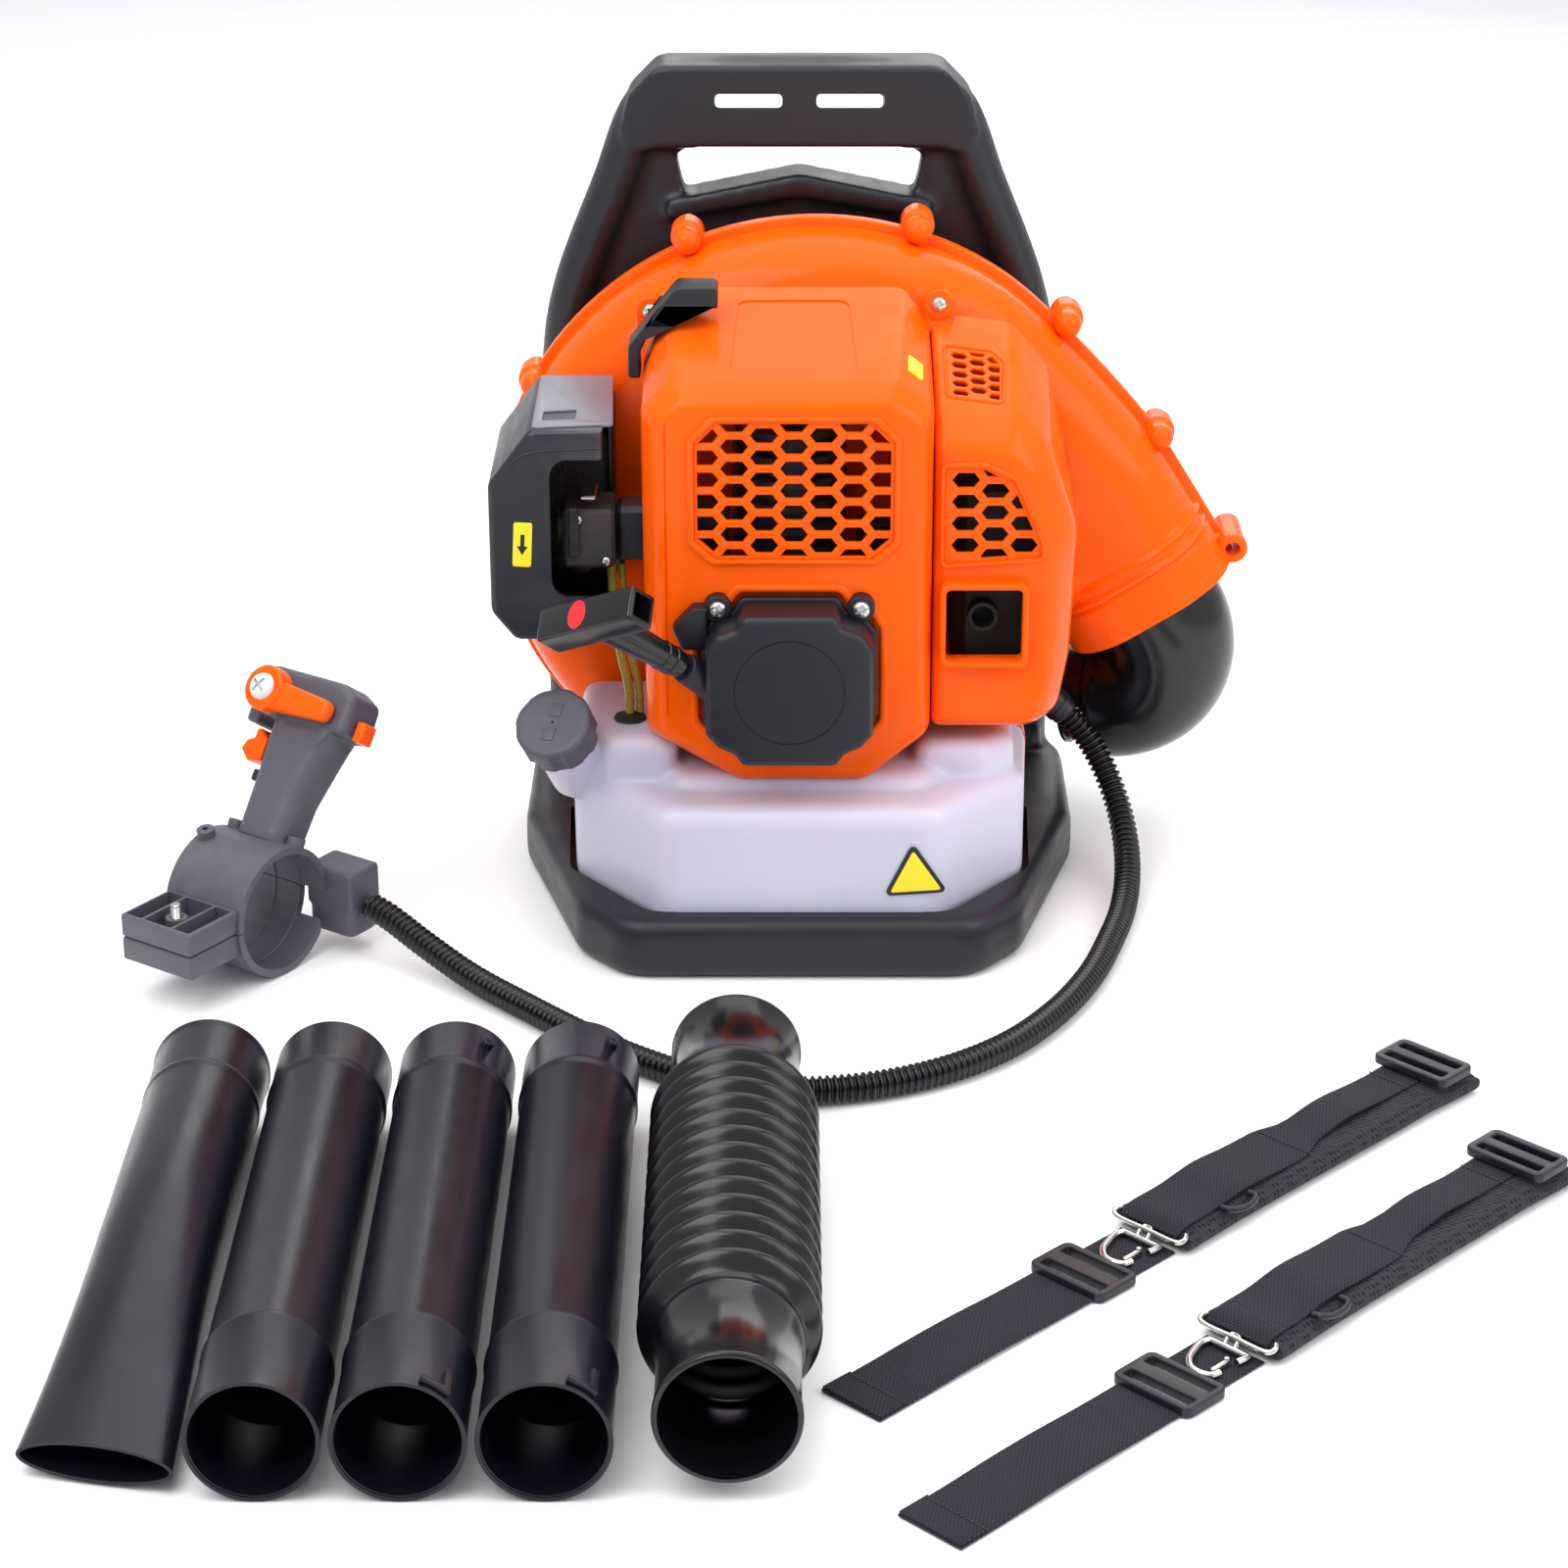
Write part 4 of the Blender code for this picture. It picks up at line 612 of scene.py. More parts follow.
def plate(outline, low, high, holes=(), plane="XZ", edge=0.0, segments=3, matrix=None):
    """A flat outline between two depths, its edges rounded by a radius, with holes."""
    curve = bpy.data.curves.new("plate", "CURVE")
    curve.dimensions = "2D"
    curve.fill_mode = "BOTH"
    curve.extrude = (high - low) / 2 - edge
    curve.bevel_depth = edge
    curve.bevel_resolution = segments
    curve.offset = -edge
    for index, points in enumerate((outline, *holes)):
        points = list(points)
        if (area_of(points) > 0) == (index > 0):
            points.reverse()
        spline = curve.splines.new("POLY")
        spline.points.add(len(points) - 1)
        spline.use_cyclic_u = True
        for point, (across, up) in zip(spline.points, points):
            point.co = (across, up, 0, 1)
    drawn = bpy.data.objects.new("plate", curve)
    scene.collection.objects.link(drawn)
    middle = (low + high) / 2
    if plane == "XZ":
        drawn.matrix_world = Matrix.Translation((0, middle, 0)) @ Matrix.Rotation(math.pi / 2, 4, "X")
    else:
        drawn.matrix_world = Matrix.Translation((0, 0, middle))
    obj = applied(drawn)
    return moved(obj, matrix) if matrix else obj


def mirrored(half):
    """A closed outline from one half of it, listed from the middle line to the middle line."""
    return half + [(-across, up) for across, up in reversed(half)]


def clipped(polygon, edges):
    """The part of a polygon inside a convex outline that runs anticlockwise."""
    for start, end in zip(edges, edges[1:] + edges[:1]):
        along, up = end[0] - start[0], end[1] - start[1]
        side = [along * (point[1] - start[1]) - up * (point[0] - start[0]) for point in polygon]
        kept = []
        for index, point in enumerate(polygon):
            before = polygon[index - 1]
            if (side[index] >= 0) != (side[index - 1] >= 0):
                share = side[index - 1] / (side[index - 1] - side[index])
                kept.append(tuple(Vector(before).lerp(Vector(point), share)))
            if side[index] >= 0:
                kept.append(tuple(point))
        polygon = kept
        if len(polygon) < 3:
            return []
    return polygon


def smooth_route(points, spacing):
    """Even steps along a smooth curve through the route's points (centripetal Catmull-Rom)."""
    places = [Vector(point) for point in points]
    places.insert(0, places[0] * 2 - places[1])
    places.append(places[-1] * 2 - places[-2])
    dense = []
    for first, start, end, last in zip(places, places[1:], places[2:], places[3:]):
        knots = [0.0]
        for before, after in ((first, start), (start, end), (end, last)):
            knots.append(knots[-1] + math.sqrt((after - before).length))
        for step in range(24):
            at = knots[1] + (knots[2] - knots[1]) * step / 24
            a1 = first.lerp(start, (at - knots[0]) / (knots[1] - knots[0]))
            a2 = start.lerp(end, (at - knots[1]) / (knots[2] - knots[1]))
            a3 = end.lerp(last, (at - knots[2]) / (knots[3] - knots[2]))
            b1 = a1.lerp(a2, (at - knots[0]) / (knots[2] - knots[0]))
            b2 = a2.lerp(a3, (at - knots[1]) / (knots[3] - knots[1]))
            dense.append(b1.lerp(b2, (at - knots[1]) / (knots[2] - knots[1])))
    dense.append(places[-2])
    length = sum((after - before).length for before, after in zip(dense, dense[1:]))
    count = max(2, round(length / spacing))
    even = [dense[0]]
    travelled = 0.0
    for before, after in zip(dense, dense[1:]):
        step = (after - before).length
        while len(even) < count and travelled + step >= length * len(even) / count:
            share = (length * len(even) / count - travelled) / step
            even.append(before.lerp(after, share))
        travelled += step
    even.append(dense[-1])
    return even


def sweep(path, radius_at, sides=20):
    """A round skin along a path; radius_at gives its radius at each distance."""
    heading = (path[1] - path[0]).normalized()
    across = heading.orthogonal().normalized()
    rows = []
    travelled = 0.0
    for index, place in enumerate(path):
        after = path[min(index + 1, len(path) - 1)]
        before = path[max(index - 1, 0)]
        heading = (after - before).normalized()
        across = (across - heading * across.dot(heading)).normalized()
        if index:
            travelled += (place - path[index - 1]).length
        radius = radius_at(travelled)
        rows.append(ring(place, across, heading.cross(across), radius, radius, sides))
    return skin(rows, caps=(True, True))


def screw(name, place, direction, radius, body="root", look="steel"):
    """A pan-head screw with a cross recess."""
    seat = facing(Vector(place), Vector(direction))
    dome = ((0.0, 0.62), (0.35, 0.60), (0.68, 0.50), (0.90, 0.30), (1.0, 0.08), (1.0, -0.4), (0.0, -0.4))
    head = lathe([(radius * out, radius * height) for out, height in dome], seat, 28)
    slots = [block((-radius * 0.62, -radius * 0.11, radius * 0.25), (radius * 0.62, radius * 0.11, radius),
                   matrix=seat @ Matrix.Rotation(turn, 4, "Z"))
             for turn in (0.4, 0.4 + math.pi / 2)]
    return keep(combine(head, slots), name, look, body)


# ---------------------------------------------------------------- camera, light and floor

def make_stage():
    """The camera, soft light all round, and a pale floor."""
    camera = bpy.data.objects.new("camera", bpy.data.cameras.new("camera"))
    camera.data.lens = CAMERA_LENS
    camera.data.sensor_width = CAMERA_SENSOR
    camera.location = CAMERA_PLACE
    camera.rotation_euler = (math.radians(90 - CAMERA_DIP), 0, 0)
    scene.collection.objects.link(camera)
    scene.camera = camera
    lamps = (("key", (-0.9, -1.3, 1.9), 1.5, 27), ("fill", (1.5, -0.9, 1.3), 1.4, 15),
             ("top", (0.0, 0.1, 2.1), 2.0, 22), ("back", (0.4, 1.7, 1.4), 1.6, 14))
    for name, place, size, power in lamps:
        lamp = bpy.data.lights.new(name, "AREA")
        lamp.shape = "SQUARE"
        lamp.size = size
        lamp.energy = power
        light = bpy.data.objects.new(name, lamp)
        light.location = place
        light.rotation_euler = (Vector((0, -0.1, 0.15)) - Vector(place)).to_track_quat("-Z", "Y").to_euler()
        scene.collection.objects.link(light)
    world = bpy.data.worlds.new("studio")
    world.use_nodes = True
    world.node_tree.nodes["Background"].inputs["Color"].default_value = (0.97, 0.98, 1.0, 1.0)
    world.node_tree.nodes["Background"].inputs["Strength"].default_value = 0.78
    scene.world = world
    scene.view_settings.view_transform = "Standard"
    bm = bmesh.new()
    bmesh.ops.create_grid(bm, x_segments=1, y_segments=1, size=8.0)
    floor = shape_from(bm)
    floor.name = "floor"
    floor.location.z = -0.0002
    paper = Shader("paper", (0.97, 0.97, 0.975), 0.75)
    paper.mottle(3.0, 0.02)
    floor.data.materials.append(paper.material)


def make_conduit():
    """The corrugated throttle conduit, one rib every few millimetres."""
    path = smooth_route(CONDUIT_ROUTE, CONDUIT_PITCH / 10)

    def radius_at(distance):
        wave = 0.5 + 0.5 * math.sin(2 * math.pi * distance / CONDUIT_PITCH)
        return CONDUIT_RADIUS - CONDUIT_RIB + CONDUIT_RIB * wave ** 0.7

    conduit = keep(sweep(path, radius_at, 20), "throttle_conduit_ribbed", "bellows_black", "root",
                   ("throttle_conduit",), angle=180)


# ---------------------------------------------------------------- frame and tank

def make_frame():
    """The blow-moulded frame: side rails, hand grip, recessed back and the base round the tank."""
    rail = mirrored([(-0.141, 0.030), (-0.141, 0.283), (-0.134, 0.327), (-0.109, 0.393), (-0.089, 0.441),
                     (-0.070, 0.4515)])
    path = smooth_route([(x, 0.112, z) for x, z in rail], 0.006)
    rows = []
    for index, place in enumerate(path):
        heading = (path[min(index + 1, len(path) - 1)] - path[max(index - 1, 0)]).normalized()
        rows.append(ring(place, heading.cross(BACKWARDS), BACKWARDS, 0.0145, 0.0195, 20))
    rails = skin(rows, caps=(True, True))
    half = [(0.080, 0.460), (0.096, 0.445), (0.117, 0.390), (0.141, 0.325), (0.148, 0.280), (0.148, 0.030)]
    hand_half = [(0.060, 0.4195), (0.073, 0.4130), (0.0675, 0.386), (0.0, 0.4010)]
    hand_hole = rounded(hand_half + [(-x, z) for x, z in reversed(hand_half[:3])],
                        [0.004, 0.004, 0.007, 0.012, 0.007, 0.004, 0.004])
    panel = plate(mirrored(half), 0.102, 0.122, holes=(hand_hole,))
    grip_half = [(0.083, 0.4675), (0.101, 0.449), (0.108, 0.4170), (0.060, 0.4180)]
    grip = softened(plate(rounded(mirrored(grip_half), 0.010), 0.0925, 0.1310), 0.008, 4)
    sill_half = [(0.078, 0.3860), (0.080, 0.3740), (0.0, 0.3880)]
    sill = plate(rounded(sill_half + [(-0.080, 0.3740), (-0.078, 0.3860), (0.0, 0.4020)], 0.004), 0.0960,
                 0.1285)
    base_half = [(0.100, -0.163), (0.128, -0.130), (0.165, 0.0), (0.165, 0.100), (0.150, 0.134)]
    base = plate(rounded(mirrored(base_half), 0.030, 8), 0.0, 0.0362, plane="XY", edge=0.008)
    foot = softened(block((-0.152, 0.090, 0.010), (0.152, 0.130, 0.052)), 0.006)
    pocket_half = [(0.086, -0.1475), (0.134, -0.086), (0.138, 0.004)]
    pocket_plan = rounded(mirrored(pocket_half), [0.022, 0.02, 0.004, 0.004, 0.02, 0.022])
    frame_skin = blown([rails, panel, grip, sill, base, foot], 0.0025, 7)
    pocket = plate(pocket_plan, 0.0238, 0.06, plane="XY")
    slant = Matrix.Translation((0, 0.112, 0.4425)) @ Matrix.Rotation(math.radians(-13.5), 4, "X")
    slots = [block((x, -0.05, -0.0040), (x + 0.040, 0.05, 0.0040), 0.0026, 3, slant) for x in (-0.050, 0.010)]
    cut_half = [(0.060, 0.4195), (0.073, 0.4130), (0.0680, 0.3915), (0.0, 0.4065)]
    hand_cut = plate(rounded(cut_half + [(-x, z) for x, z in reversed(cut_half[:3])], 0.004), 0.07, 0.15)
    frame_skin = combine(frame_skin, [pocket, hand_cut, *slots])
    keep(frame_skin, "frame_moulding", "black_moulded", "root", ("frame_back", "frame_base"), angle=50)


def make_tank():
    """The translucent fuel tank, its filler neck and cap, the grommet and the fuel line."""
    lower_half = [(0.078, -0.1480), (0.130, -0.0860), (0.135, -0.0070)]
    lower = plate(rounded(mirrored(lower_half), [0.020, 0.020, 0.01, 0.01, 0.020, 0.020]), 0.0245, 0.0985,
                  plane="XY", edge=0.010)
    slope_half = [(0.070, -0.1180), (0.112, -0.0700), (0.130, -0.0070)]
    step = plate(rounded(mirrored(slope_half), 0.018), 0.060, 0.1060, plane="XY", edge=0.012)
    left_top = [(-0.070, -0.0080), (-0.128, -0.0080), (-0.128, -0.085), (-0.110, -0.105), (-0.070, -0.105)]
    right_top = [(0.066, -0.0080), (0.124, -0.0080), (0.124, -0.080), (0.106, -0.098), (0.066, -0.098)]
    left = plate(rounded(left_top, 0.010), 0.060, 0.1250, plane="XY", edge=0.009)
    right = plate(rounded(right_top, 0.010), 0.060, 0.1190, plane="XY", edge=0.009)
    axis = Vector((-0.22, -0.604, 0.766)).normalized()
    face = Vector((-0.1405, -0.1150, 0.1400))
    neck = rod(face - axis * 0.062, face - axis * 0.0225, 0.0175)
    tank = blown([lower, step, left, right, neck], 0.0017, 8)
    keep(tank, "fuel_tank_shell", "tank_white", "root", ("fuel_tank",), angle=60)
    cap_frame = facing(face, axis)
    rows = []
    for height, radius, notch in ((-0.0222, 0.0195, 0.0), (-0.0205, 0.0212, 0.6), (-0.0190, 0.0222, 1.0),
                                  (-0.0060, 0.0222, 1.0), (-0.0045, 0.0224, 0.9), (-0.0020, 0.0224, 0.35),
                                  (-0.0006, 0.0215, 0.2), (0.0, 0.0200, 0.1), (-0.0003, 0.0165, 0.0)):
        row = []
        for turn in turns(96):
            wave = max(0.0, math.cos(8 * turn)) ** 0.35
            reach = radius - 0.0016 * notch * wave
            row.append(Vector((reach * math.cos(turn), reach * math.sin(turn), height)))
        rows.append(row)
    cap = skin(rows, caps=(True, True))
    pads = [block((0.0035, -0.0035, -0.002), (0.0120, 0.0035, 0.0004), 0.0006,
                  matrix=Matrix.Rotation(turn, 4, "Z"))
            for turn in (math.radians(70), math.radians(250))]
    cap = combine(cap, pads, "UNION")
    vent = rod((0, 0, -0.003), (0, 0, 0.002), 0.0008, sides=16)
    cap = moved(combine(cap, [vent]), cap_frame)
    keep(cap, "fuel_cap_ribbed", "handle_grey", "cap", ("fuel_cap",), angle=40)
    grommet = Matrix.Translation((-0.098, -0.0735, 0.1253))
    disc = [(0.0, 0.0034), (0.0036, 0.0034), (0.0042, 0.0026), (0.0068, 0.0022), (0.0088, 0.0014),
            (0.0095, 0.0), (0.0, 0.0)]
    keep(lathe(disc, grommet, 40), "tank_grommet_disc", "rubber_black", "root", ("tank_grommet",))
    for name, shift, radius in (("fuel_line_feed", (0, 0, 0), 0.0027),
                                ("fuel_line_return", (0.0058, 0.0020, 0), 0.0022)):
        path = [place + Vector(shift) for place in smooth_route(FUEL_LINE_ROUTE, 0.002)]
        keep(sweep(path, lambda distance: radius, 20), name, "fuel_hose", "root", ("fuel_line",), angle=70)
    sign = [(-0.0185, 0.0), (0.0185, 0.0), (0.0, 0.0320)]
    tilt = Matrix.Translation((0.0660, -0.14855, 0.0480)) @ Matrix.Rotation(math.radians(-4), 4, "Y")
    keep(plate(rounded(sign, 0.0025), -0.0006, 0.0, edge=0.0002, matrix=tilt), "tank_sign_border",
         "label_black")
    inner = [(-0.0147, 0.0020), (0.0147, 0.0020), (0.0, 0.0272)]
    keep(plate(rounded(inner, 0.0010), -0.0008, -0.0004, edge=0.0001, matrix=tilt), "tank_sign_face",
         "label_yellow")


# ---------------------------------------------------------------- fan housing and elbow

def scroll_outline(grow):
    """The housing's outline, a growing spiral that runs off straight to the outlet, moved out by grow."""
    outline = []
    for index in range(SCROLL_STEPS + 1):
        angle = SCROLL_START + (SCROLL_END - SCROLL_START) * index / SCROLL_STEPS
        share = max(0.0, angle / SCROLL_END)
        radius = SCROLL_R_MIN + SCROLL_R_GROWTH * share * share * (3 - 2 * share) + grow
        outline.append((AXIS_X - radius * math.sin(angle), AXIS_Z - radius * math.cos(angle)))
    side = Vector((-OUTLET_AXIS.z, 0.0, OUTLET_AXIS.x))
    outer = OUTLET_CENTRE + side * (OUTLET_WIDTH / 2 + grow)
    inner = OUTLET_CENTRE - side * (OUTLET_WIDTH / 2 + grow)
    shoulder = outer - OUTLET_AXIS * 0.075
    rim = Vector((outline[-1][0], 0.0, outline[-1][1]))
    heading = Vector((math.cos(SCROLL_END), 0.0, -math.sin(SCROLL_END))) * -0.09
    for index in range(1, 16):
        t = index / 16
        h00 = 2 * t ** 3 - 3 * t ** 2 + 1
        h10 = t ** 3 - 2 * t ** 2 + t
        h01 = 3 * t ** 2 - 2 * t ** 3
        h11 = t ** 3 - t ** 2
        place = rim * h00 + heading * h10 + shoulder * h01 + OUTLET_AXIS * 0.09 * h11
        outline.append((place.x, place.z))
    overrun = OUTLET_AXIS * 0.06
    for place in (shoulder, outer, outer + overrun, inner + overrun, inner, inner - OUTLET_AXIS * 0.020):
        outline.append((place.x, place.z))
    return outline


def rib_height(distance):
    """How far the skin stands out at a distance behind the outlet's edge: two ribs and a collar."""
    height = 0.0016 if distance < 0.026 else 0.0
    for centre in (0.0300, 0.0385):
        height = max(height, 0.0024 * math.exp(-((distance - centre) / 0.0019) ** 2))
    return height


def housing_half(face_y, rounding, split_y, hole_radius):
    """One half of the fan housing, open at the split and at the outlet."""
    bm = bmesh.new()
    split = bm.faces.new([bm.verts.new((x, split_y, z)) for x, z in scroll_outline(0.0)])
    made = bmesh.ops.extrude_face_region(bm, geom=[split])
    far = [item for item in made["geom"] if isinstance(item, bmesh.types.BMVert)]
    bmesh.ops.translate(bm, verts=far, vec=(0, face_y - split_y, 0))
    rim = [edge for edge in bm.edges if all(abs(vert.co.y - face_y) < 1e-6 for vert in edge.verts)]
    bmesh.ops.bevel(bm, geom=rim, offset=rounding, segments=14, profile=0.5, affect="EDGES",
                    clamp_overlap=False)
    split_faces = [face for face in bm.faces if all(abs(vert.co.y - split_y) < 1e-6 for vert in face.verts)]
    bmesh.ops.delete(bm, geom=split_faces, context="FACES_ONLY")
    for step in range(0, 30):
        everything = bm.verts[:] + bm.edges[:] + bm.faces[:]
        place = OUTLET_CENTRE - OUTLET_AXIS * (step * 0.0016)
        bmesh.ops.bisect_plane(bm, geom=everything, plane_co=place, plane_no=OUTLET_AXIS,
                               clear_outer=step == 0)
    bmesh.ops.recalc_face_normals(bm, faces=bm.faces)
    bm.normal_update()
    for vert in bm.verts:
        distance = (OUTLET_CENTRE - vert.co).dot(OUTLET_AXIS)
        if distance < 0.048:
            vert.co += vert.normal * rib_height(distance)
    obj = walled(shape_from(bm), HOUSING_WALL)
    hole = rod((AXIS_X, face_y - 0.02, AXIS_Z), (AXIS_X, face_y + 0.02, AXIS_Z), hole_radius, sides=72)
    return combine(obj, [hole])


def outlet_cut(obj):
    """Trim a shape at the plane of the outlet's edge."""
    bm = bmesh.new()
    bm.from_mesh(obj.data)
    bpy.data.objects.remove(obj, do_unlink=True)
    everything = bm.verts[:] + bm.edges[:] + bm.faces[:]
    cut = bmesh.ops.bisect_plane(bm, geom=everything, plane_co=OUTLET_CENTRE, plane_no=OUTLET_AXIS,
                                 clear_outer=True)
    rim = [item for item in cut["geom_cut"] if isinstance(item, bmesh.types.BMEdge)]
    bmesh.ops.holes_fill(bm, edges=rim, sides=0)
    return shape_from(bm)


def make_housing():
    """The glossy fan housing: two rounded halves, their flanges, bosses, outlet ear and feet."""
    front = housing_half(-0.003, 0.038, SPLIT_Y, 0.034)
    rear = housing_half(0.092, 0.030, SPLIT_Y + SPLIT_CLEARANCE, 0.078)
    keep(front, "fan_housing_front_shell", "orange_shell", "root", ("fan_housing_front",), angle=45)
    keep(rear, "fan_housing_rear_shell", "orange_shell", "root", ("fan_housing_rear",), angle=45)
    for name, low, high, out in (("flange_front", 0.0405, 0.0466, 0.0050),
                                 ("flange_rear", 0.0474, 0.0530, 0.0042)):
        flange = plate(scroll_outline(out), low, high, holes=(scroll_outline(-0.004),), edge=0.0012)
        keep(outlet_cut(flange), name, "orange_shell", angle=45)
    bosses = ((-0.1555, 0.2930), (-0.0650, 0.3795), (0.0685, 0.3860), (0.1565, 0.3300), (0.2125, 0.2610))
    for index, (x, z) in enumerate(bosses):
        post = rod((x, 0.0640, z), (x, 0.0235, z), 0.0080, sides=36, round_end=0.0076)
        collar = rod((x, 0.0560, z), (x, 0.0400, z), 0.0098, sides=36, round_end=0.0015)
        keep(blown([post, collar], 0.0008, 4), "flange_boss_%d" % (index + 1), "orange_shell", angle=60)
        screw("flange_screw_%d" % (index + 1), (x, 0.0642, z), (0, 1, 0), 0.0042)
    x, z = 0.2580, 0.1930
    ear = rod((x, 0.0660, z), (x, 0.0250, z), 0.0090, sides=36, round_end=0.002)
    web = block((0.2350, 0.0330, 0.1860), (0.2560, 0.0610, 0.1990), 0.002)
    ear = blown([ear, web], 0.0008, 3)
    bore = rod((x, 0.08, z), (x, 0.01, z), 0.0046, sides=32)
    keep(combine(ear, [bore]), "outlet_ear", "orange_shell", angle=45)
    for name, x, z in (("left", -0.0850, 0.3530), ("right", 0.0790, 0.3570)):
        lug = rod((x, -0.0205, z), (x, -0.0080, z), 0.0085, sides=40, round_end=0.002)
        tab = block((x - 0.0085, -0.0195, z - 0.0180), (x + 0.0085, -0.0090, z), 0.002)
        keep(blown([lug, tab], 0.0008, 3), "cover_ear_" + name, "orange_shell", angle=50)
        screw("cover_ear_screw_" + name, (x, -0.0204, z), FORWARDS, 0.0046)
    for side, name in SIDES:
        x = side * HOUSING_FOOT_X
        foot = softened(block((x - 0.012, 0.030, 0.0368), (x + 0.012, 0.060, 0.0722)), 0.004, 4)
        keep(foot, "housing_foot_%s_moulded" % name, "orange_shell", "root", ("housing_foot_" + name,))


def make_elbow():
    """The swivelling elbow below the outlet and its narrower collar, with a mould seam."""
    start = OUTLET_CENTRE + OUTLET_AXIS * 0.001
    bend_start = start + OUTLET_AXIS * 0.012
    centre = bend_start + ELBOW_SIDE * ELBOW_BEND
    path = [start, start + OUTLET_AXIS * 0.006]
    for index in range(33):
        angle = ELBOW_TURN * index / 32
        ray = OUTLET_AXIS * math.sin(angle) - ELBOW_SIDE * math.cos(angle)
        path.append(centre + ray * ELBOW_BEND)
    heading = OUTLET_AXIS * math.cos(ELBOW_TURN) + ELBOW_SIDE * math.sin(ELBOW_TURN)
    end = path[-1]
    lip = TUBE_RADIUS + 0.0012
    tail = [(0.005, ELBOW_RADIUS), (0.0065, ELBOW_RADIUS - 0.0015), (0.009, TUBE_RADIUS + 0.001),
            (0.0105, TUBE_RADIUS), (0.022, TUBE_RADIUS), (0.0226, lip), (0.0245, lip), (0.025, TUBE_RADIUS)]
    stations = [(place, ELBOW_RADIUS) for place in path]
    stations += [(end + heading * far, radius) for far, radius in tail]
    normal = OUTLET_AXIS.cross(ELBOW_SIDE).normalized()
    rows = []
    for index, (place, radius) in enumerate(stations):
        before = stations[max(index - 1, 0)][0]
        after = stations[min(index + 1, len(stations) - 1)][0]
        towards = (after - before).normalized()
        across = towards.cross(normal)
        row = ring(place, across, normal, radius, radius, 72)
        for spot in (18, 54):
            row[spot] = place + (row[spot] - place) * 1.012
        rows.append(row)
    elbow = walled(skin(rows), ELBOW_WALL)
    keep(elbow, "outlet_elbow_moulded", "black_gloss", "elbow", ("outlet_elbow",), angle=50)


# ---------------------------------------------------------------- engine covers

HEX_HALF_WIDTH = 0.0078
HEX_HALF_HEIGHT = 0.0043
HEX_FLAT = 0.0044
GRILLE_MARGIN = 0.0022
HEX_PITCH_X = 0.0165
HEX_PITCH_Z = 0.0128


def honeycomb(outline, low, high, matrix=None, scale=1.0):
    """A grille of long hexagons that fills a convex outline right up to its edge."""
    if area_of(outline) < 0:
        outline = list(reversed(outline))
    middle = sum((Vector(point) for point in outline), Vector((0, 0))) / len(outline)
    inside = from_middle(outline, -GRILLE_MARGIN)
    cell = [(HEX_HALF_WIDTH, 0), (HEX_FLAT, HEX_HALF_HEIGHT), (-HEX_FLAT, HEX_HALF_HEIGHT),
            (-HEX_HALF_WIDTH, 0), (-HEX_FLAT, -HEX_HALF_HEIGHT), (HEX_FLAT, -HEX_HALF_HEIGHT)]
    holes = []
    reach = 12
    for column in range(-reach, reach + 1):
        for row in range(-reach, reach + 1):
            x = middle.x + column * HEX_PITCH_X * scale
            z = middle.y + (row + (0.5 if column % 2 else 0.0)) * HEX_PITCH_Z * scale
            hole = clipped([(x + dx * scale, z + dz * scale) for dx, dz in cell], inside)
            if len(hole) > 2 and abs(area_of(hole)) > 6e-6:
                holes.append(hole)
    return plate(outline, low, high, holes=holes, edge=0.0005, segments=1, matrix=matrix)


def cover_shell(stations, rounding, cuts):
    """A moulded cover from outlines at several depths: rounded outside, hollow inside, with openings."""
    rows = [[Vector((x, depth, z)) for x, z in outline] for depth, outline in stations]
    shell = softened(skin(rows, caps=(True, False)), rounding, 5, 12)
    return combine(walled(shell, COVER_WALL), cuts)


def grille_frame(outline, width, low, high, matrix=None):
    """The raised frame round a grille."""
    outer = rounded(from_middle(outline, width), 0.004, 3)
    return plate(outer, low, high, holes=(rounded(outline, 0.002, 3),), edge=0.0012, matrix=matrix)


STARTER_MIDDLE = (AXIS_X, 0.171)
STARTER_HALF = [(0.026, 0.045), (0.030, 0.0375), (0.041, 0.0335), (0.047, 0.025), (0.047, -0.026),
                (0.040, -0.034), (0.031, -0.038), (0.026, -0.045)]


def starter_outline(grow):
    """The starter's outline, moved outwards by grow."""
    middle = Vector(STARTER_MIDDLE)
    rays = [Vector(point) for point in mirrored(STARTER_HALF)]
    return [tuple(middle + ray * (1 + grow / ray.length)) for ray in rays]


